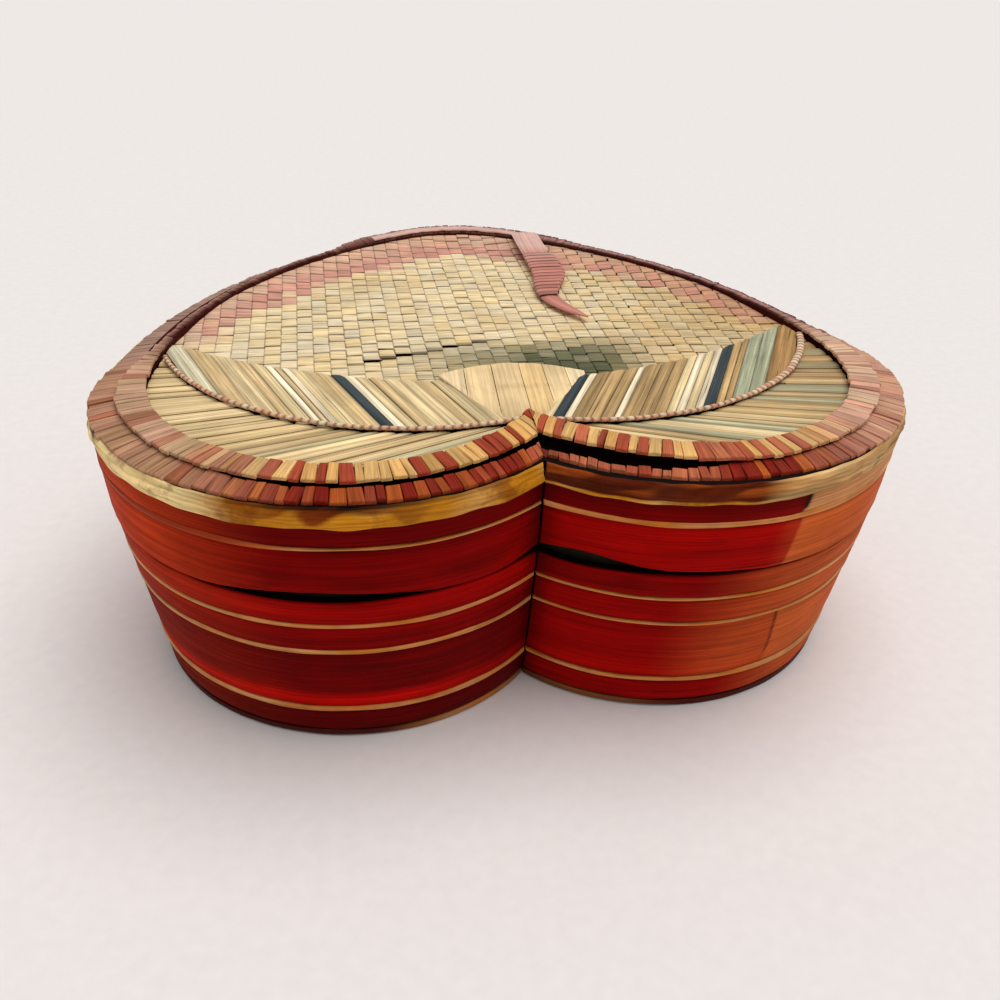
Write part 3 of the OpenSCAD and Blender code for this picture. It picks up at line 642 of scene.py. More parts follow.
# Colours at these points round the back: dark maroon as painted shade, standing for the shadow lines along
# the rim, with a rosy line on the right and a buff edge on the left
BACK_RINGS_WITH_SHADE = {
    ("upper", "left"): ("#3a0c0d", "#43100f", "#7d5048", "#a07e70", "#a88a7a"),
    ("upper", "right"): ("#3a0c0d", "#3a0c0d", "#b8827c", "#2c090a", "#2c090a"),
    ("lower", "left"): ("#a58272",) * 5,
    ("lower", "right"): ("#5a2624",) * 5,
}
# Offset whose rays all edging straws lie along
EDGING_RAY = -14.5


def tile_edges(total, mean, seed):
    """Edges from 0 to 1 of a row of straws, whose widths are 0.68 to 1.35 of the mean and scaled to fit."""
    widths = default_rng(seed).uniform(0.68, 1.35, round(total / mean))
    return np.concatenate([[0], np.cumsum(widths)]) / widths.sum()


def edging_grid(side, edges, inner, outer, z_in, z_out, thick, seed):
    """A row of short straws laid across the rim.

    Each straw is a tube along the offset: its section spans its share of t with crisp corners, and its two
    ends turn down a little. All straws lie along rays, a little turned near the cleft. inner, outer, z_in and
    z_out are the offsets and heights of the straws' ends."""
    r = default_rng(seed)
    count = len(edges) - 1
    across = np.array([-1, -0.9, 0, 0.9, 1, 1, 0, -1])
    up = np.array([0.72, 0.97, 1.0, 0.97, 0.72, 0, 0, 0])
    swell = np.array([0.8, 1, 1.03, 1, 0.8])
    droop = np.array([-0.02, 0, 0.03, 0, -0.03])
    middle, half = (edges[1:] + edges[:-1]) / 2, np.diff(edges) / 2
    # Straws lie 0.14 apart, and narrow ones closer
    half = np.maximum(half - 0.07 / HALF_LEN, 0.4 * half)[:, None, None]
    skew = r.normal(0, 0.10, count)[:, None, None] * half * (STRAW_POINTS - 0.5)[:, None] * 2
    t = side * np.clip(middle[:, None, None] + half * across + skew, 0.0004, 0.9996)
    ends = r.normal(0, 0.16, (2, count))
    d = (inner + ends[0])[:, None] + STRAW_POINTS * (outer + ends[1] - inner - ends[0])[:, None]
    roll = r.normal(0, 0.07, count)[:, None, None] * across
    base = z_in[:, None] + STRAW_POINTS * (z_out - z_in)[:, None] + droop
    base = base + r.normal(0, 0.07, count)[:, None]
    z = base[:, :, None] + thick[:, None, None] * up * swell[:, None] + roll
    twist = math.radians(0.55) * (1 - rise(np.abs(t), 0.0, 0.12))
    x, y, _, _ = heart(t, d[:, :, None], EDGING_RAY, twist)
    shift = r.uniform(0, 300, (count, 2))[:, None, None]
    return stack(x, y, z), stack(d[:, :, None], across * half * HALF_LEN + up) + shift


def lower_tier(t, side, pick, swap, colours, r):
    """Ends, heights, share of the thickness and colours in front of the lower tier's straws at t.

    In front they alternate between wine red and rust. On the right the first ones are torn, and at the cleft
    only stubs are left. On the flanks they are longer, and round the back they turn down with the rim."""
    right, count = side > 0, len(t)
    back, left = back_share(t), (side < 0) * (1 - rise(t, 0.2, 0.3))
    torn = rise(t, 0, 0.02) * (1 - rise(t, 0.12, 0.18)) if right else hump(t, 0.015, 0.035)
    stub = torn * (1 - rise(t, 0.028, 0.04)) * right
    inner = -7.4 - 2.0 * rise(t, 0.24, 0.36) - 1.0 * back + 1.3 * left
    inner = inner + (3.2 if right else 1.0) * torn * r.uniform(0.7, 1, count) + 0.7 * stub
    outer = -2.3 + 1.9 * rise(t, 0.2, 0.34) * (1 - back) + 0.6 * left + 0.7 * back
    outer = outer - torn * r.uniform(0.0, 0.9, count)
    z_in = 73.0 - 0.4 * torn - 0.95 * back
    z_out = 72.0 - 0.2 * torn * r.uniform(0, 1, count) - 1.55 * back
    brick, amber, salmon, wine = rgb(colours.brick, colours.amber, linear("#c2724e"), linear("#7c1607"))
    rust = mix(brick * 0.75, amber * [0.72, 0.34, 0.15], 0.85 * pick)
    front = np.where(swap[:, None], mix(brick, wine, 0.7 + 0.3 * pick), rust)
    front = mix(front, mix(salmon, brick, pick), 0.9 * torn)
    front = mix(front, wine * 0.5, 0.8 * stub)
    return (inner, outer, z_in, z_out), 1 - 0.25 * back - 0.4 * stub, front


def upper_tier(t, side, pick, swap, colours):
    """Ends, heights, share of the thickness and colours in front of the upper tier's straws at t.

    In front they alternate between brick and amber. On the right they have lifted off, and round the back
    they are shorter, and their outer ends rise at the tip."""
    right, back = side > 0, back_share(t)
    lift = 1.25 * hump(t, 0.075, 0.13) * right
    short = (1.0 if right else 2.0) * (1 - rise(t, 0.82, 0.88))
    inner, outer = -14.4 + 1.0 * back, -6.9 - (2.7 + short) * back
    z_in = 74.45 + 0.75 * lift
    z_out = 74.4 + 0.2 * back + 0.85 * lift + 0.9 * rise(t, 0.8, 0.88)
    pale, salmon, wine = (linear(c) for c in ("#dab070", "#c2724e", "#7c1607"))
    warm = mix(salmon, colours.brick, pick) if right else mix(colours.brick, wine, 0.35 * pick)
    front = np.where(swap[:, None], warm, mix(colours.amber, pale, 0.3 + 0.7 * pick))
    return (inner, outer, z_in, z_out), 1.0, front


class STRAWBOX_OT_edging(bpy.types.Operator):
    """Two tiers of short dyed straws round the lid, and the hoops under them"""

    bl_idname = "strawbox.edging"
    bl_label = "Straw Edging"

    def execute(self, context):
        sizes, colours = context.scene.straw_box_sizes, context.scene.straw_box_colours
        # Dyed flattened straw: short fibres, worn dye and dark splits
        finish = leaf_finish(
            "dyed flattened straw", fibre=(12, 0.35), vein=(30, 1.2), relief=0.07, rough=0.6,
            depth=0.34, cracks=0.5, gloss=0.08,
        )
        # On the flanks: two dusty colours, how red the brick ones among them are, and brightness
        flanks = {"left": ("#cc9c82", "#bd9a74", 0.5, 1.0), "right": ("#c99b84", "#c2a284", 0.25, 1.25)}
        for tier in ("lower", "upper"):
            for name, side in SIDES:
                seed = 200 + 10 * (tier == "upper") + int(side > 0)
                r = default_rng(seed + 50)
                edges = tile_edges(HALF_LEN, sizes.tile_w / MM, seed)
                t = (edges[1:] + edges[:-1]) / 2
                count = len(t)
                pick, tone = r.uniform(0, 1, count), r.normal(1, 0.1, count)
                swap = (np.arange(count) % 2 == 0) ^ (r.uniform(0, 1, count) < 0.12)
                if tier == "lower":
                    span, share, front = lower_tier(t, side, pick, swap, colours, r)
                else:
                    span, share, front = upper_tier(t, side, pick, swap, colours)
                thick = sizes.tile_t / MM * (1 - 0.3 * back_share(t)) * share
                grid, uv = edging_grid(side, edges, *span, thick, seed)
                warm, buff, bricks, bright = flanks[name]
                flank = mix(linear(warm), linear(buff), pick)
                flank = mix(flank, colours.brick, bricks * (np.abs(tone - 1) > 0.13))
                flank = flank * (np.array([0.85, 0.74, 0.7]) if tier == "lower" else 1.0) * bright
                dye = mix(front, flank, rise(t, 0.20, 0.33)) * tone[:, None]
                # Round the back the straws take these ring colours, whose dark maroon is painted shade. At
                # the tip the two sides meet in one dusty maroon
                ends = np.array([linear(c) for c in BACK_RINGS_WITH_SHADE[tier, name]])
                ends = mix(ends, linear("#6e4138"), 0.8 * rise(t, 0.84, 0.97)[:, None])
                dye = mix(dye[:, None], ends, 0.93 * rise(t, 0.45, 0.56)[:, None])[:, :, None]
                node = f"{tier}_edging_{name}"
                add_piece(f"{node}_straws", grid, uv, dye, "lid", [node], finish)

        # Leaf of the hoops under the tiers, flat rings of it on the board: matt, and painted nearly black in
        # front and dark maroon round the back, as the shade in the gaps between the tiers
        finish = leaf_finish(
            "hoop leaf painted as shade", fibre=(20, 0.4), vein=(40, 1.2), relief=0.05, rough=0.7,
            depth=0.3, cracks=0.4, gloss=0.05,
        )
        back = back_share(RING_T)
        upper, lower = np.array([-13.6, -13.6, -9.85, -9.85]), np.array([-9.3, -9.3, -7.4, -7.4])
        deck = deck_z(RING_T, lower)
        hoops = (
            ("upper_hoop", upper, 74.38, DECK_Z + 0.02),
            ("lower_hoop", lower, deck + 0.7 - 0.55 * back, deck + 0.02),
        )
        for node, off, top, foot in hoops:
            z = np.where([False, True, True, False], top, foot)
            uv = stack(np.abs(RING_T) * HALF_LEN, z + off)
            # Painted shade: nearly black in front, dark maroon round the back
            dye = mix(linear("#170506"), linear("#43100f"), rise(np.abs(RING_T), 0.4, 0.56))
            grid = carry(RING_T, off, z)
            add_piece(f"{node}_ring", grid[None], uv, dye, "lid", [node], finish, ring=True)
        return {"FINISHED"}


# Plaited sheet: width that its columns cover, number of rows, y of the first row, and the crease across it
SHEET_WIDTH, SHEET_ROWS, SHEET_FOOT = 186, 32, -62
CREASE_X, CREASE_Y = -38, -25.5
# A float from end to end: place, height and painted shade, and from edge to edge: place, height and painted
# shade. The shade is darkest at the near edge, and a faint painted highlight lies just short of the far edge
FLOAT_ALONG = np.array([-1.25, -1.0, -0.84, 0, 0.9, 1.0, 1.25])[:, None]
FLOAT_FALL = np.array([-0.4, 0.0, 0.06, 0.08, 0.05, -0.06, -0.4])[:, None]
FLOAT_ENDS = {"warp": (0.3, 0.46, 0.96, 1, 1.05, 0.82, 0.4), "weft": (0.3, 0.6, 1, 1, 1, 0.6, 0.3)}
FLOAT_ACROSS = np.array([-1, -0.88, 0, 0.88, 1, 0.0])
FLOAT_UP = np.array([0.1, 0.27, 0.3, 0.27, 0.1, -0.1])
FLOAT_RIMS = {"warp": (0.62, 1, 1, 1, 0.66, 0.5), "weft": (0.46, 0.96, 1, 1.05, 0.82, 0.5)}


def sheet_dye(x, y, tone, jitter, colours):
    """Colour of a float at x, y: cream, tan to the right, rose along the far edge and grey behind the fan."""
    rim = inset(x, y) + SHEET_OFF + 1.4 * jitter
    band = np.interp(x, [-90, -53, -20, 10, 46, 70, 90], [5, 13, 19, 20, 12, 8, 5])
    pink = rise(rim, band + 4, band - 3) * (0.55 + 0.4 * rise(rim / band, 0.1, 0.8)) * rise(y, -14, 2)
    grey = rise(-y, 9, 24) * rise(x, -34, -2) * (1 - rise(x, 26, 44)) * (0.7 + 0.3 * rise(x, -6, 12))
    tan = 0.6 * rise(x, 10, 85) + 0.14 * patches(x, y, 45, 2) + 0.06 * tone
    dye = mix(colours.cream, colours.straw, np.clip(0.62 + 0.25 * tone, 0, 1))
    dye = mix(dye, colours.tan, np.clip(tan, 0, 1))
    dye = mix(dye, linear("#cf9080"), np.clip(pink, 0, 1))
    dye = mix(dye, linear("#50543a"), np.clip(grey * (0.9 + 0.08 * tone), 0, 0.97))
    return dye * (1.04 + 0.065 * tone)[..., None] * (1 - rise(x, 10, 75)[..., None] * [0.1, 0.13, 0.2])


class STRAWBOX_OT_plaited_sheet(bpy.types.Operator):
    """Plaited sheet over the lid: flat floats in columns, whose ends tuck under their neighbours"""

    bl_idname = "strawbox.plaited_sheet"
    bl_label = "Plaited Sheet"

    def execute(self, context):
        sizes, colours = context.scene.straw_box_sizes, context.scene.straw_box_colours
        warp_w, weft_w = sizes.warp_w / MM, sizes.weft_w / MM
        # Plaited leaf: short fibres on each float, and a dull surface
        finish = leaf_finish(
            "plaited leaf", fibre=(9, 0.4), vein=(24, 1.3), relief=0.05, rough=0.65,
            depth=0.32, cracks=0.5, gloss=0.06,
        )
        r = default_rng(300)
        columns, rows = round(SHEET_WIDTH / warp_w), SHEET_ROWS
        # Rows climb in steps from column to column, from a crease left of the middle
        x = (np.arange(columns) - (columns - 1) / 2) * warp_w
        slope = 0.36 - 0.5 * rise(x, -10, 55)
        crease = CREASE_Y + np.cumsum(slope) * warp_w
        crease = crease + (CREASE_Y - np.interp(CREASE_X, x, crease)) + r.normal(0, 0.3, columns)
        pitch = weft_w * r.normal(1, 0.08, (columns, rows))
        start = np.floor((crease - SHEET_FOOT) / weft_w).astype(int)
        y = np.cumsum(pitch, 1) - pitch
        y = y - np.take_along_axis(y, start[:, None], 1) + crease[:, None]
        x0, y0, run = np.broadcast_arrays(x[:, None], y + pitch / 2, pitch)
        # Kinds alternate. Floats lie inside the tiers and above the cords
        kind = (np.arange(columns)[:, None] + np.arange(rows)) % 2
        inside = (inset(x0, y0) > 9.5) & (y0 > cord_y(x0) + 3.0) & (np.abs(x0) < 94)
        # Beside the crease the floats stand open, less and less from row to row
        above = np.clip((y0 - crease[:, None]) / weft_w, -9, 9)
        gape = rise(x0, -43, -36) * (1 - rise(x0, -8, 4)) * (above > 0) * np.exp(-above * 0.9)
        tone = r.normal(0, 1, (columns, rows))
        dye = sheet_dye(x0, y0, tone, r.normal(0, 1, (columns, rows)), colours)

        # One float is a flat strip, faintly crowned and turned down under its neighbours at both ends
        for number, name in enumerate(("warp", "weft")):
            pick = inside & (kind == number)
            n = pick.sum()
            px, py, long, lift = (part[pick][:, None, None] for part in (x0, y0, run / 2, gape))
            wide, c, f = warp_w / 2, FLOAT_ACROSS, FLOAT_ALONG
            a, b = (c * wide, f * long) if name == "warp" else (f * wide, c * long)
            a, b = np.broadcast_arrays(a, b)
            turn = r.normal(0, 0.025, n)[:, None, None] - 0.1 * rise(px, -5, 50)
            lean = r.normal(0, 0.014, (2, n))[:, :, None, None]
            z = SHEET_Z - 0.45 + FLOAT_FALL + FLOAT_UP + 0.1 * patches(px, py, 60, 5)
            z = z + lean[0] * a + (lean[1] - 0.022) * b + lift * (0.6 - 0.14 * b)
            x = px + a - turn * b
            y = np.minimum(py + b + turn * a, far_edge(x, -11.2))
            # Along the far edge the sheet rises to the tiers
            z = z + 1.1 * rise(-inset(x, y), -25, -14) * rise(y, -5, 25)
            # Fibres run across the sheet in both kinds, as all of the leaf was split along its length
            uv = stack(a, b) + r.uniform(0, 300, (n, 2))[:, None, None]
            # Painted shade along the edges, where the floats meet, most of all on the near side and to the
            # right
            depth = r.uniform(0.7, 1.8, n)[:, None, None] + 0.6 * rise(px, 5, 50)
            shade = (np.array(FLOAT_ENDS[name])[:, None] * np.array(FLOAT_RIMS[name])) ** depth
            float_dye_with_shade = dye[pick][:, None, None] * shade[..., None]
            node = ["woven_sheet"] if name == "warp" else []
            add_piece(f"plaited_{name}", stack(x, y, z), uv, float_dye_with_shade, "lid", node, finish)
        return {"FINISHED"}


# Painted shade round the section of a straw of the picture: darker along its two edges, where the straws
# meet, and on its underside
STRAW_EDGE_SHADE = np.array([0.74, 1.0, 1.0, 1.0, 0.74, 0.5, 0.5])[:, None]


def straw_section(crown):
    """Section of a flat straw, as shares of width and thickness: 1 - crown (2 u - 1)^4 and a flat back."""
    u = np.linspace(0, 1, 5)
    return np.append(u, [1, 0]), np.append(1 - crown * (2 * u - 1) ** 4, [0, 0])


def laid_straws(start, across, along, edges, low, high, z, thick, gap, seed, crown=0.38):
    """Flat straws: start + a across + b along, with a between two edges and b from low(a) to high(a)."""
    r = default_rng(seed)
    u, up = straw_section(crown)
    a0, a1 = edges[:-1, None, None] + gap / 2, edges[1:, None, None] - gap / 2
    a = a0 + u * (a1 - a0)
    f = np.linspace(0, 1, 14)[:, None]
    b0, b1 = low(a), high(a)
    b = b0 + f * np.maximum(b1 - b0, 0.02)
    count = len(edges) - 1
    ends = 0.25 * (np.minimum(f, 1 - f) < 0.01)
    lift, roll = (r.normal(0, spread, count)[:, None, None] for spread in (0.06, 0.07))
    height = z + thick * np.maximum(up - ends * (up > 0), 0) + (lift + roll * (2 * u - 1)) * (up > 0)
    x, y = (start[i] + a * across[i] + b * along[i] for i in (0, 1))
    uv = stack(b, a) + r.uniform(0, 300, (count, 2))[:, None, None]
    keep = (b1 - b0).max((1, 2)) > 1.5
    return stack(x, y, height)[keep], uv[keep], keep


class STRAWBOX_OT_wings(bpy.types.Operator):
    """Slanting straws of the two wings of the picture"""

    bl_idname = "strawbox.wings"
    bl_label = "Wing Straws"

    def execute(self, context):
        colours = context.scene.straw_box_colours
        # Split leaf straw: streaky, with long cracks along it
        finish = leaf_finish(
            "split leaf straw", fibre=(30, 0.55), vein=(70, 1.8), relief=0.09, rough=0.58,
            depth=0.46, cracks=0.85, gloss=0.08,
        )
        straw, cream, tan = rgb(colours.straw, colours.cream, colours.tan)
        blue, green = rgb(colours.blue, colours.green)
        dun, sage, brown = mix(straw, tan, 0.5), mix(cream, green, 0.5), tan * 0.82
        umber = tan * [0.74, 0.64, 0.55]
        # Slant in degrees, near edge and colour of each straw from the fan outwards, and the last edge
        wings = {
            "left": (70.5, (
                (0, dun), (4, straw), (8, straw), (11.6, dun), (15.4, straw), (18.6, straw), (22.4, dun),
                (25.2, straw), (28, cream), (30.4, blue), (33.1, dun), (37.6, straw), (41.4, cream),
                (43, straw), (44.6, cream), (46.4, straw), (49.4, dun), (52.3, straw), (57, dun),
                (61.8, sage),
            ), 67.0),
            "right": (63, (
                (0, straw), (2.6, straw), (5, blue), (7.6, cream), (9.4, brown), (12.6, tan), (16, brown),
                (18.9, cream), (20.6, tan), (24.4, brown), (27.6, tan), (30.4, straw), (32.6, cream),
                (34.6, straw), (36.8, cream), (38.6, blue), (41.2, tan), (43.2, brown), (44.9, green),
                (48.4, green), (51.9, umber),
            ), 58.0),
        }
        # Angle of the fan's sides, where the first straws end
        ray = math.radians(52)
        for name, side in SIDES:
            slant, rows, stop = wings[name]
            lean = math.radians(slant)
            along = np.array([math.cos(lean), math.sin(lean)])
            across = np.array([math.sin(lean), -math.cos(lean)])
            steep = math.sin(ray + math.pi / 2 - lean) / math.sin(lean - ray)

            def meets(a, centre, radius, sign):
                """Where the straw at a, from the line through the fan's point, meets a circle."""
                return crossing(FAN_C + a[..., None] * across, along, centre, radius, sign)

            def low(a):
                """Start of a straw: the cord."""
                return meets(a, CORD_C, CORD_R - 1.0, -1)

            def high(a):
                """End of a straw: the wing's hollow upper edge, the sheet's edge or the fan's side."""
                swag, edge = meets(a, SWAG_C, SWAG_R, -1), meets(a, FLANK_C, FLANK_R + SHEET_OFF - 0.2, 1)
                return np.minimum(np.minimum(swag, edge), steep * np.maximum(a, 0.02))

            edges, seed = np.array([a for a, _ in rows] + [stop]), 410 + int(side > 0)
            z, thick, gap = SHEET_Z + 0.05, 0.75, 0.14
            grid, uv, keep = laid_straws(FAN_C, across, along, edges, low, high, z, thick, gap, seed)
            grid[..., 0] *= side
            dye = np.array([c for _, c in rows])[keep]
            dye = dye * default_rng(seed + 10).normal(1, 0.05, len(dye))[:, None]
            # Painted shade along each straw's edges
            dye = dye[:, None, None] * STRAW_EDGE_SHADE
            node = [f"wing_straws_{name}"]
            add_piece(f"wing_{name}_straws", grid, uv, dye, "lid", node, finish)
        return {"FINISHED"}


class STRAWBOX_OT_borders(bpy.types.Operator):
    """Straws of the two crescent borders between cord and edging"""

    bl_idname = "strawbox.borders"
    bl_label = "Border Straws"

    def execute(self, context):
        colours = context.scene.straw_box_colours
        # Long leaf straw: streaky, with long cracks along it
        finish = leaf_finish(
            "long leaf straw", fibre=(40, 0.5), vein=(90, 1.7), relief=0.09, rough=0.58,
            depth=0.46, cracks=0.85, gloss=0.08,
        )
        # Most tan, tint and number of the grey-green straws, and brightness
        looks = {"left": (0.55, 0.45, 0.2, 1.06), "right": (0.8, 0.75, 0.32, 0.96)}
        # First and last angle at the pole in degrees, gap between straws in radians, mean distance from it
        first, last, gap, away = -27, 15, 0.0012, 150
        u, up = straw_section(0.38)
        for name, side in SIDES:
            r = default_rng(430 + int(side > 0))
            edges = np.radians(first + np.append(0, np.cumsum(r.uniform(0.75, 1.85, 40))))
            edges = edges[edges < math.radians(last)]
            count = len(edges) - 1
            turn = edges[:-1, None, None] + gap / 2 + u * (np.diff(edges)[:, None, None] - gap)
            along = stack(np.cos(turn), np.sin(turn))
            # A straw runs from the cord, or the middle plane, to the lobe's or the flank's arc
            start = crossing(BORDER_POLE, along, CORD_C, CORD_R + 0.1, 1)
            start = np.maximum(start, -BORDER_POLE[0] / np.cos(turn) + 0.3)
            lobe = crossing(BORDER_POLE, along, LOBE_C, LOBE_R + SHEET_OFF - 0.15, 1)
            flank = crossing(BORDER_POLE, along, FLANK_C, FLANK_R + SHEET_OFF - 0.15, 1)
            at = BORDER_POLE + lobe[..., None] * along - LOBE_C
            stop = np.where(np.arctan2(at[..., 1], at[..., 0]) < LOBE_END, lobe, flank)
            b = start + np.linspace(0, 1, 16)[:, None] * np.maximum(stop - start, 0.02)
            lift, roll = (r.normal(0, spread, count)[:, None, None] for spread in (0.08, 0.1))
            z = DECK_Z + 0.95 * up + (lift + roll * (2 * u - 1)) * (up > 0)
            x, y = (BORDER_POLE[i] + b * along[..., i] for i in (0, 1))
            uv = stack(b, turn * away) + r.uniform(0, 300, (count, 2))[:, None, None]
            keep = (stop - start).max((1, 2)) > 2
            tan, green, greens, bright = looks[name]
            dye = mix(colours.straw, colours.tan, r.uniform(0, 1, count) * tan)
            dye = mix(dye, colours.green, green * (r.uniform(0, 1, count) < greens))
            dye = dye * r.normal(bright, 0.07, count)[:, None]
            if side > 0:
                brown = rise(np.degrees(edges[:-1]), -14, -5)[:, None]
                dye = dye * (1 - np.array([0.25, 0.36, 0.42]) * brown)
            # Painted shade along each straw's edges
            dye = dye[keep][:, None, None] * STRAW_EDGE_SHADE
            grid, node = stack(side * x, y, z)[keep], [f"border_straws_{name}"]
            add_piece(f"border_{name}_straws", grid, uv[keep], dye, "lid", node, finish)
        return {"FINISHED"}


class STRAWBOX_OT_fan(bpy.types.Operator):
    """Cream leaf strips of the fan at the cleft, laid side by side and trimmed to a fan"""

    bl_idname = "strawbox.fan"
    bl_label = "Fan"

    def execute(self, context):
        colours = context.scene.straw_box_colours
        # Cream leaf: broad, smooth and pale, with faint veins
        finish = leaf_finish(
            "cream leaf", fibre=(26, 0.8), vein=(60, 2.4), relief=0.06, rough=0.62,
            depth=0.28, cracks=0.4, gloss=0.1,
        )
        edges = np.array([-19.0, -12.4, -5.0, 2.4, 8.6, 14.4, 19.4])
        lean = np.array([0.07, 1.0]) / math.hypot(0.07, 1.0)
        start, across = np.array([0.0, -45.0]), np.array([1.0, 0.0])

        def high(a):
            """Top of the fan: an arc about its point."""
            return crossing(start + a[..., None] * across, lean, FAN_C, FAN_R, 1)

        def low(a):
            """Bottom of the fan: its two slanting sides, and the cords between them."""
            x = np.abs(a)
            side = np.where(a < 0, -37.9 - (18.6 - x) * 1.97, -39.6 - (19.4 - x) * 1.68)
            return np.maximum(side, cord_y(x) + 0.9) - start[1]

        z, thick, gap = SHEET_Z + 0.12, 0.8, 0.22
        grid, uv, _ = laid_straws(start, across, lean, edges, low, high, z, thick, gap, 440, crown=0.1)
        y = grid[..., 1]
        amber = default_rng(441).uniform(0.3, 0.75, len(grid))
        tone = mix(colours.cream, linear("#e2b56a"), amber) * 1.08
        # One dark fold across it, and shade towards the cleft
        shade = (1 - 0.2 * np.exp(-(((y + 46) / 0.4) ** 2))) * (1 - 0.25 * rise(-y, 52, 64))
        dye = tone[:, None, None] * shade[..., None]
        add_piece("fan_leaf", grid, uv, dye, "lid", ["fan_straws"], finish)
        return {"FINISHED"}


class STRAWBOX_OT_wing_cords(bpy.types.Operator):
    """Wrapped cords along the lower edges of the wings"""

    bl_idname = "strawbox.wing_cords"
    bl_label = "Wing Cords"

    def execute(self, context):
        cord_r, colours = context.scene.straw_box_sizes.cord_d / MM / 2, context.scene.straw_box_colours
        # Cord wrapped in leaf: small round turns with red gaps between them
        finish = leaf_finish(
            "cord wrapped in leaf", fibre=(9, 0.4), vein=(20, 1.0), relief=0.05, rough=0.55,
            depth=0.25,
        )
        # Length of a turn, and how far it slants in one round
        pitch, slant = 2.1, 0.35
        first = math.atan2(FAN_C[1] - CORD_C[1], 0.4 - CORD_C[0])
        # The far end lies on the flank's inner arc, where two circles meet
        gap = FLANK_C - CORD_C
        span, reach = np.hypot(*gap), FLANK_R - 14.9
        last = math.acos((CORD_R**2 + span**2 - reach**2) / (2 * CORD_R * span))
        last = (math.atan2(gap[1], gap[0]) + last + math.pi) % (2 * math.pi) - math.pi
        a = np.linspace(first, last, 520)[:, None]
        q = np.linspace(0, 2 * np.pi, 13)[:-1]
        s = CORD_R * (a - first)
        turn = s / pitch + q / (2 * np.pi) * slant
        number = np.floor(turn).astype(int)
        number -= number.min()
        turns = number.max() + 1
        ridge = np.abs(np.sin(np.pi * turn)) ** 0.55
        r = cord_r * (0.88 + 0.14 * ridge)
        z = SHEET_Z + 0.5 + cord_r + r * np.sin(q)
        # Painted shadow: a dark maroon band along the lower side of the cord
        under = 1 - rise(np.sin(q + 0.35), -0.45, 0.05)
        for name, side in SIDES:
            # The right cord is flattened and broader towards its far end
            wide = 1 + 0.75 * rise(s / s[-1], 0.4, 0.75) * (side > 0)
            ring = CORD_R + 0.15 * wander(s, 30, 7) + r * wide * np.cos(q)
            x, y = CORD_C[0] + ring * np.cos(a), CORD_C[1] + ring * np.sin(a)
            share = default_rng(450 + int(side > 0)).normal(0.22, 0.2, turns)
            share = np.clip((np.arange(turns) % 2) * 0.3 + share, 0, 1)
            tones = mix(linear("#dc9c78"), colours.cream, share)
            dye = tones[number] * (0.5 + 0.58 * ridge)[..., None]
            dye = mix(dye, linear("#4a140f"), 0.75 * (1 - ridge))
            dye = mix(dye, linear("#300a0a"), under)
            grid, uv, node = stack(side * x, y, z), stack(q / (2 * np.pi) * 4, s), f"wing_cord_{name}"
            add_piece(f"{node}_wrap", grid[None], uv, dye, "lid", [node], finish, crease=60)
        return {"FINISHED"}


def tab_past(run):
    """Share of the pull tab's point that lies before this distance from its fold."""
    return np.clip(run - TAB_BODY, 0, None) / TAB_POINT


def tab_middle(run):
    """Middle of the pull tab, this far from its fold: straight, then bent left, and its point swept right."""
    return HINGE[0] + 0.8 * hump(run, 33, 26) - 3.2 * rise(run, 36, 57) + 7.4 * tab_past(run) ** 1.6


def tab_half(run):
    """Half width of the pull tab, this far from its fold: widest under the wrapping, and pointed."""
    body = 4.7 + 0.5 * hump(run, 32, 22) - 1.7 * rise(run, 40, 60)
    return body * np.clip(1 - tab_past(run) ** 3, 0.002, 1) ** 0.8


def tab_rise(run):
    """Height of the pull tab's underside: it slopes from the fold to the plaiting, and its point lifts."""
    slope = np.sin(TAB_SLOPE) * np.clip(run, 0, TAB_BODY)
    return HINGE[2] - slope + 0.5 * tab_past(run) ** 1.5 - 0.3 * rise(-run, 0, TAB_ROOT)


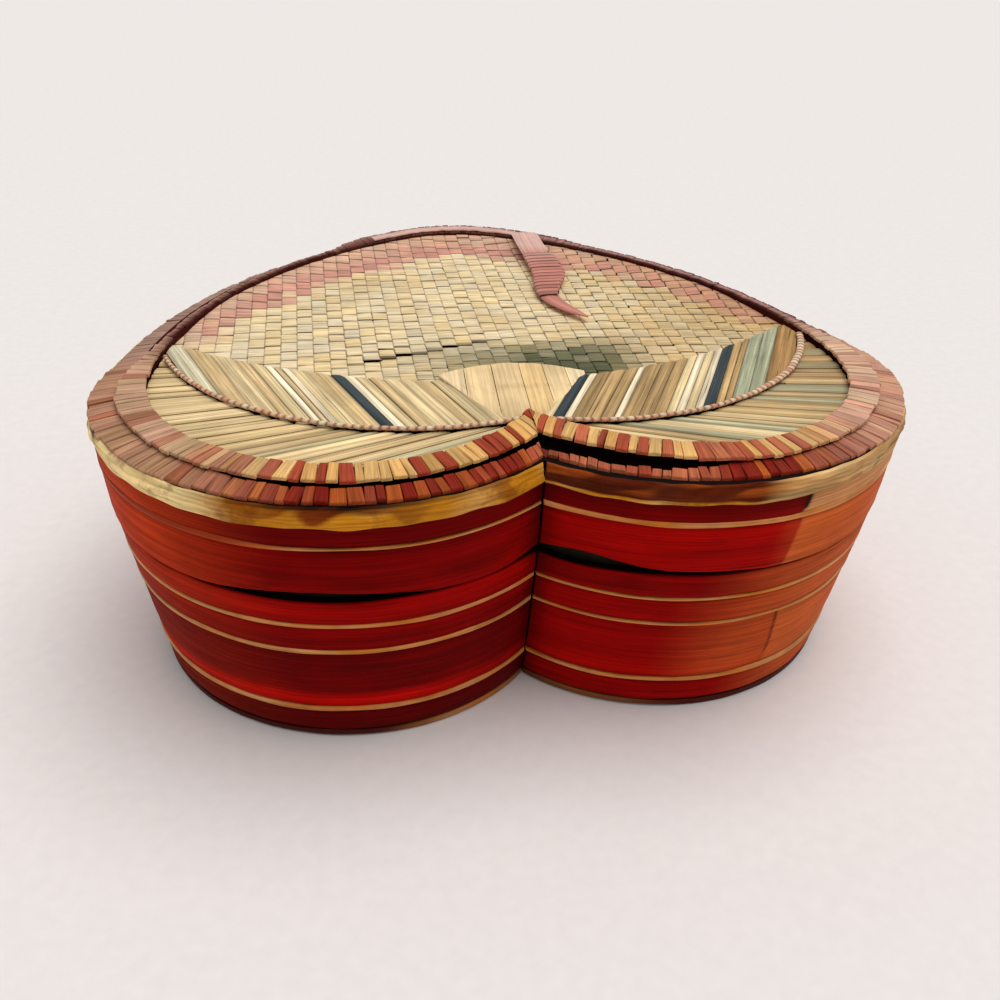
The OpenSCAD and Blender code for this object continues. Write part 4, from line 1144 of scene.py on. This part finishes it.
class STRAWBOX_OT_pull_tab(bpy.types.Operator):
    """Pink leaf strip on the rim, and the wrapped tab that it folds into"""

    bl_idname = "strawbox.pull_tab"
    bl_label = "Pull Tab"

    def execute(self, context):
        turns, colours = context.scene.straw_box_sizes.wrap_turns, context.scene.straw_box_colours
        # Pink dyed leaf: even dye, paler at the fold, with a soft sheen
        finish = leaf_finish(
            "pink dyed leaf", fibre=(24, 0.45), vein=(50, 1.6), relief=0.06, rough=0.55,
            depth=0.26, cracks=0.3,
        )
        pale = mix(colours.pink, linear("#f2d3c4"), 0.55)
        v = np.array([-1, -0.85, 0, 0.85, 1, 0.0])
        up = np.array([0.2, 0.5, 0.62, 0.5, 0.2, 0.0])

        # Strip along the rim at the tip, on top of the upper edging, thinned under the tab
        t = np.concatenate([np.linspace(-0.885, -1.0, 60)[:-1], np.linspace(1.0, 0.893, 56)])[:, None]
        s = np.cumsum(np.full(len(t), 0.6))[:, None]
        off = -12.1 + 1.3 * v + 0.1 * wander(s, 20, 3)
        thin = 1 - 0.7 * rise(-t, -0.92, -0.895) * (t > 0)
        z = 75.2 + 0.2 * (off + 13.4) + up * thin + 0.12 * wander(s, 14, 4) * (up > 0)
        grid, uv = carry(t, off, z), stack(s, 2.5 * v)
        add_piece("rim_strip_leaf", grid[None], uv, pale * 0.9, "lid", ["rim_strip"], finish)

        # Leaf of the tab: from the fold on the rim, down over the plaiting, to its swept point
        run = np.linspace(-TAB_ROOT, TAB_BODY + TAB_POINT - 0.2, 96)[:, None]
        half = tab_half(run)
        z = tab_rise(run) + 0.55 * (up - 0.3) + 0.25 * (1 - v**2) * (up > 0)
        grid = stack(tab_middle(run) + half * v, HINGE[1] - run, z)
        # Painted shade along the tab's left edge near its lifted point
        edge = 1 - 0.35 * rise(-v, 0.6, 1) * rise(run, 54, 62)
        dye = mix(pale, colours.pink, rise(run, 10, 24)) * edge[..., None]
        uv = stack(run, half * v)
        leaf = add_piece("tab_leaf_strip", grid[None], uv, dye, None, ["tab_leaf"], finish)
        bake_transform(leaf)

        # Wrapping: a helix of flat leaf with a rounded rectangular turn, each turn lapping the one before
        wrap_end, wrap_run, wrap_half = 57.0, 37.0, 1.7
        a = np.linspace(0.25 * np.pi, (2 * turns + 0.25) * np.pi, turns * 32)[:, None]
        bow_x, bow_z = (np.sign(w) * np.sqrt(np.abs(w)) for w in (np.cos(a), np.sin(a)))
        c = np.array([-1, -0.7, 0, 0.7, 1, 0.0])
        out = np.array([0.05, 0.42, 0.62, 0.8, 0.6, 0.0])
        rng = default_rng(460)
        number = np.clip(((a - a[0]) / (2 * np.pi)).astype(int), 0, turns)
        along = wrap_end - wrap_run * (a - a[0]) / (2 * np.pi * turns) + wrap_half * c - 0.9 * np.cos(a)
        along = along + rng.normal(0, 0.18, turns + 1)[number]
        x = tab_middle(along) + (tab_half(along) + 0.05 + 0.35 * out) * bow_x
        z = tab_rise(along) + (0.42 + 0.42 * out) * bow_z + 0.14
        # Painted shade: each turn is dark where the next one laps it and along its own lip
        lap_shade = (0.4 + 0.65 * rise(c, -1, 0.25)) * (1 - 0.6 * rise(c, 0.7, 1))
        shade = rng.normal(1, 0.09, turns + 1)[number] * lap_shade * (1 - 0.4 * rise(along, 55.5, 58))
        dye = mix(colours.pink, pale, 0.5 * rise(-along, -34, -20)) * shade[..., None]
        grid, uv = stack(x, HINGE[1] - along, z), stack(a * 3.6, wrap_half * c)
        add_piece("tab_wrapping_leaf", grid[None], uv, dye, "tab", ["tab_wrapping"], finish)
        return {"FINISHED"}


def plait_grid(count, pitch, first, low, high, sign, seed):
    """Flat strips that pass over and under one another, as places across and along, height, grain and tone.

    Strip i lies at c = first + (i + 1/2) pitch and runs from low(c) to high(c). Its height is sign times 0.12
    tanh(1.7 cos(pi (s / pitch + i))) / tanh(1.7), so it is over every second strip of the other set."""
    r = default_rng(seed)
    i = np.arange(count)[:, None, None]
    across = np.array([-1, -0.9, 0, 0.9, 1, 0])
    up = np.array([0, 0.85, 1, 0.85, 0, -1.0])
    half = pitch / 2 * r.uniform(0.9, 0.985, count)[:, None, None]
    c = first + (i + 0.5) * pitch + half * across
    s = low(c) + np.linspace(0, 1, 120)[:, None] * (high(c) - low(c))
    over = sign * np.tanh(1.7 * np.cos(np.pi * (s / pitch + i))) / math.tanh(1.7)
    j = np.floor(s / pitch + 0.5).astype(int)
    j -= j.min()
    cells = r.normal(0, 1, (3, count, j.max() + 1))
    tone, lift, roll = (cell[np.broadcast_to(i, j.shape), j] for cell in cells)
    z = 0.12 * over + 0.15 * up + np.maximum(over, 0) * (0.05 * np.abs(lift) + 0.06 * roll * across)
    return np.broadcast_arrays(c, s, z), stack(s + 31 * i, c + 17 * i), tone


class STRAWBOX_OT_cores(bpy.types.Operator):
    """Wall cores, collar and boards, and the plaited mat and lining inside the box"""

    bl_idname = "strawbox.cores"
    bl_label = "Cores and Inside"

    def execute(self, context):
        colours = context.scene.straw_box_colours
        # Two near-black colours are painted shade: on the lid's board and on the wall cores outside
        straw, board_shade_black, umber = rgb(colours.straw, linear("#120606"), linear("#140906"))
        # Coarse pale leaf: wide flat veins, undyed and dull
        finish = leaf_finish(
            "coarse pale leaf", fibre=(45, 0.9), vein=(120, 4.0), relief=0.12, rough=0.62,
            depth=0.35, gloss=0.08,
        )
        # Pasted brown card of the floor, and card painted nearly black under the lid's straws, as the shade
        # seen in the gaps between them
        card = card_finish("pasted brown card", colours.card)
        dark = card_finish("card painted black as shade", linear("#120606"))
        s = np.arange(len(RING_T))[:, None] * 2 * HALF_LEN / len(RING_T)
        lift = seam_lift(RING_T)

        # Wall of the base and wall of the lid, each a closed ring behind its leaf strips
        face, thick = 0.9, 2.1
        v = np.array([0, 0.5, 1, 1, 0.5, 0])
        back = np.array([0, 0, 0, 1, 1, 1])
        rings = (
            ("base_wall", "base", base_off, 2.4, SEAM_Z - 0.35 * lift),
            ("lid_skirt", "lid", skirt_off, SKIRT_Z + lift, BOARD_Z),
        )
        for node, body, wall, low, high in rings:
            z = low + v * (high - low)
            grid, uv = carry(RING_T, wall(z) - face - thick * back, z), stack(s, z)
            # Painted shade: the cores are nearly black outside and along the top, as the shade in the seam
            # and between the strips, and pale straw inside
            dye = np.where(((back == 1) & (v < 1))[:, None], straw, umber)
            add_piece(f"{node}_core", grid[None], uv, dye, body, [node], finish, ring=True)

        # Collar between them: pale, and painted nearly black as shade where it stands in the seam
        low, high, thick, gap = 34.0, 61.0, 1.6, 2.2
        foot, head = (base_off(z) - face - gap for z in (low, SEAM_Z))
        z = np.array([low, SEAM_Z, 51.5, 53.0, high, high, high - 0.4, 54, SEAM_Z, low])
        off = head - np.array([head - foot, 0, 0, 0, 0.4, 1.2, thick, thick, thick, head - foot + thick])
        shade = np.array([0.02, 0.02, 0.02, 0.8, 0.9, 0.95, 1, 1, 1, 1])[:, None]
        grid, uv, dye = carry(RING_T, off, z), stack(s, z + 3 * (off - head)), straw * shade
        node = ["base_collar"]
        add_piece("base_collar_leaf", grid[None], uv, dye, "base", node, finish, ring=True)

        # Plaited mat on the floor of the base and plaited lining under the lid: body, height, offset, way up
        pitch, shortest = 7.6, 6
        mats = {"floor_mat": ("base", 2.85, -12.6, 1.0), "lid_lining": ("lid", 69.65, -3.5, -1.0)}
        for name, (body, level, d, flip) in mats.items():

            def wide(y):
                """Half width of the mat at y."""
                return half_width(y, d)

            # Kind, half of the width that they cover, ends and first way of the strips. Those across the box
            # stop at the notch in front of the cleft
            long = (lambda x: near_edge(x, d), lambda x: far_edge(x, d))
            whole, right = (lambda y: -wide(y), wide), (lambda y: notch(y, d), wide)
            left = (lambda y: -wide(y), lambda y: -notch(y, d))
            sets = (
                ("warp", HALF_X + d - 0.5, (long,), 1),
                ("weft", HALF_Y + d - 3, (whole, right, left), -1),
            )
            for kind, half, spans, sign in sets:
                count = round(2 * half / pitch)
                found = []
                for number, (low, high) in enumerate(spans):
                    seed = 500 + sign + int(level)
                    (c, q, z), uv, tone = plait_grid(count, pitch, -half, low, high, sign, seed)
                    x, y = (c, q) if kind == "warp" else (q, c)
                    dye = mix(colours.straw, colours.tan, np.clip(0.45 + 0.3 * tone, 0, 1))
                    split = (kind == "weft") & (c.min((1, 2)) < cleft_line(d))
                    keep = ((q[:, -1] - q[:, 0]).min(-1) > shortest) & (split == (number > 0))
                    found.append((stack(x, y, level + flip * z)[keep], uv[keep], dye[keep]))
                grid, uv, dye = (np.concatenate(part) for part in zip(*found))
                nodes = [name] if kind == "warp" else []
                add_piece(f"{name}_{kind}", grid, uv, dye, body, nodes, finish)

        # Board of the lid: a plate along x, and a ring round it that turns down at the edge round the back
        off = np.array([-16, -16, -10.4, -5.7, -1.1, -1.1])
        z = np.where([False, True, True, True, True, False], deck_z(RING_T, off), BOARD_Z)
        grid, uv = carry(RING_T, off, z), stack(s, off + z)
        # Painted shade: the board's ring is nearly black
        add_piece("lid_board_ring", grid[None], uv, board_shade_black, "lid", ["lid_board"], dark, ring=True)
        # The plate is nearly black as well, painted shade
        plate_x, plate_d = 88.6, -15.6
        x = (plate_x * np.sin(np.linspace(-np.pi / 2, np.pi / 2, 81)))[:, None]
        y = np.where([True, True, False, False], near_edge(x, plate_d), far_edge(x, plate_d))
        grid = stack(x, y, np.where([True, False, False, True], BOARD_Z + 0.05, DECK_Z - 0.05))
        add_piece("lid_board_plate", grid[None], grid[..., :2], board_shade_black, "lid", [], dark)
        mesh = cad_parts["base_floor"].data
        mesh.materials.clear()
        mesh.materials.append(card)
        return {"FINISHED"}


class STRAWBOX_OT_stage(bpy.types.Operator):
    """Pale floor, soft light and the camera"""

    bl_idname = "strawbox.stage"
    bl_label = "Stage"

    def execute(self, context):
        scene, colours = context.scene, context.scene.straw_box_colours
        scene.view_settings.view_transform = "Standard"

        # Floor of pale paper: matt, with a faint grain of 4 mm, as coarse as it needs to be to show
        mesh = bpy.data.meshes.new("floor")
        mesh.from_pydata([(-6, -6, 0), (6, -6, 0), (6, 6, 0), (-6, 6, 0)], [], [(0, 1, 2, 3)])
        floor = bpy.data.objects.new("floor", mesh)
        scene.collection.objects.link(floor)
        material, tree = blank("pale paper")
        place = add(tree, "ShaderNodeTexCoord", out="Object")
        inputs = {"Vector": place, "Scale": 1000 / 3.85, "Detail": 3.0}
        grain = add(tree, "ShaderNodeTexNoise", inputs)
        shade = add(tree, "ShaderNodeMapRange", {0: grain, **NOISE_SPAN, 3: 0.98, 4: 1.02})
        inputs = {0: tuple(colours.floor)[:3], 3: shade}
        tone = add(tree, "ShaderNodeVectorMath", inputs, operation="SCALE")
        look = {"Base Color": tone, "Roughness": 0.9, "Specular IOR Level": 0.1}
        shader = add(tree, "ShaderNodeBsdfPrincipled", look)
        add(tree, "ShaderNodeOutputMaterial", {"Surface": shader})
        mesh.materials.append(material)

        # World: even light from all round, as pale as the floor where the camera sees it
        world = bpy.data.worlds.new("studio")
        scene.world = world
        world.use_nodes = True
        tree = world.node_tree
        tree.nodes.clear()
        seen = add(tree, "ShaderNodeLightPath", out="Is Camera Ray")
        strength = add(tree, "ShaderNodeMapRange", {0: seen, 1: 0.0, 2: 1.0, 3: 0.46, 4: 0.83})
        sky = add(tree, "ShaderNodeBackground", {"Color": (1, 1, 1, 1), "Strength": strength})
        add(tree, "ShaderNodeOutputWorld", {"Surface": sky})

        # Lamp: one very broad source, high and a little to the right
        lamp = bpy.data.lights.new("overhead", "SUN")
        lamp.energy, lamp.angle = 1.75, math.radians(55)
        item = bpy.data.objects.new("overhead", lamp)
        scene.collection.objects.link(item)
        item.rotation_mode = "QUATERNION"
        item.rotation_quaternion = Vector((-0.2, -0.03, -1.0)).to_track_quat("-Z", "Y")

        # Camera: in front and a little to the left, looking down 33 degrees and rolled by 2
        yaw, pitch, roll = math.radians(10.77), math.radians(33.07), math.radians(2.05)
        place = Vector((-46.75, -278.34, 180.66)) * MM
        right = Vector((math.cos(yaw), -math.sin(yaw), 0))
        ahead = Vector((math.cos(pitch) * math.sin(yaw), math.cos(pitch) * math.cos(yaw), -math.sin(pitch)))
        up = right.cross(ahead)
        side = right * math.cos(roll) + up * math.sin(roll)
        top = up * math.cos(roll) - right * math.sin(roll)
        camera = bpy.data.cameras.new("camera")
        camera.sensor_width, camera.lens, camera.shift_y = 36.0, 36.54, 0.043
        camera.clip_start, camera.clip_end = 0.01, 50.0
        item = bpy.data.objects.new("camera", camera)
        scene.collection.objects.link(item)
        item.matrix_world = Matrix.Translation(place) @ Matrix((side, top, -ahead)).transposed().to_4x4()
        scene.camera = item
        return {"FINISHED"}


OPERATORS = (
    STRAWBOX_OT_stage,
    STRAWBOX_OT_cores,
    STRAWBOX_OT_leaf_strips,
    STRAWBOX_OT_natural_lines,
    STRAWBOX_OT_rim_band,
    STRAWBOX_OT_edging,
    STRAWBOX_OT_plaited_sheet,
    STRAWBOX_OT_borders,
    STRAWBOX_OT_wings,
    STRAWBOX_OT_fan,
    STRAWBOX_OT_wing_cords,
    STRAWBOX_OT_pull_tab,
)


class STRAWBOX_PT_panel(bpy.types.Panel):
    """Lists the pieces of the box, with their sizes and colours"""

    bl_idname = "STRAWBOX_PT_panel"
    bl_label = "Straw Box"
    bl_space_type = "VIEW_3D"
    bl_region_type = "UI"
    bl_category = "Straw Box"

    def draw(self, context):
        for operator in OPERATORS:
            self.layout.operator(operator.bl_idname)
        for group in (context.scene.straw_box_sizes, context.scene.straw_box_colours):
            for key in group.__annotations__:
                self.layout.prop(group, key)


CLASSES = (StrawBoxSizes, StrawBoxColours, *OPERATORS, STRAWBOX_PT_panel)


def register():
    for cls in CLASSES:
        bpy.utils.register_class(cls)
    bpy.types.Scene.straw_box_sizes = PointerProperty(type=StrawBoxSizes)
    bpy.types.Scene.straw_box_colours = PointerProperty(type=StrawBoxColours)


def unregister():
    del bpy.types.Scene.straw_box_colours
    del bpy.types.Scene.straw_box_sizes
    for cls in reversed(CLASSES):
        bpy.utils.unregister_class(cls)


def main():
    register()
    bpy.ops.strawbox.stage()
    bpy.ops.strawbox.cores()
    bpy.ops.strawbox.leaf_strips()
    bpy.ops.strawbox.natural_lines()
    bpy.ops.strawbox.rim_band()
    bpy.ops.strawbox.edging()
    bpy.ops.strawbox.plaited_sheet()
    bpy.ops.strawbox.borders()
    bpy.ops.strawbox.wings()
    bpy.ops.strawbox.fan()
    bpy.ops.strawbox.wing_cords()
    bpy.ops.strawbox.pull_tab()


if __name__ == "__main__":
    main()
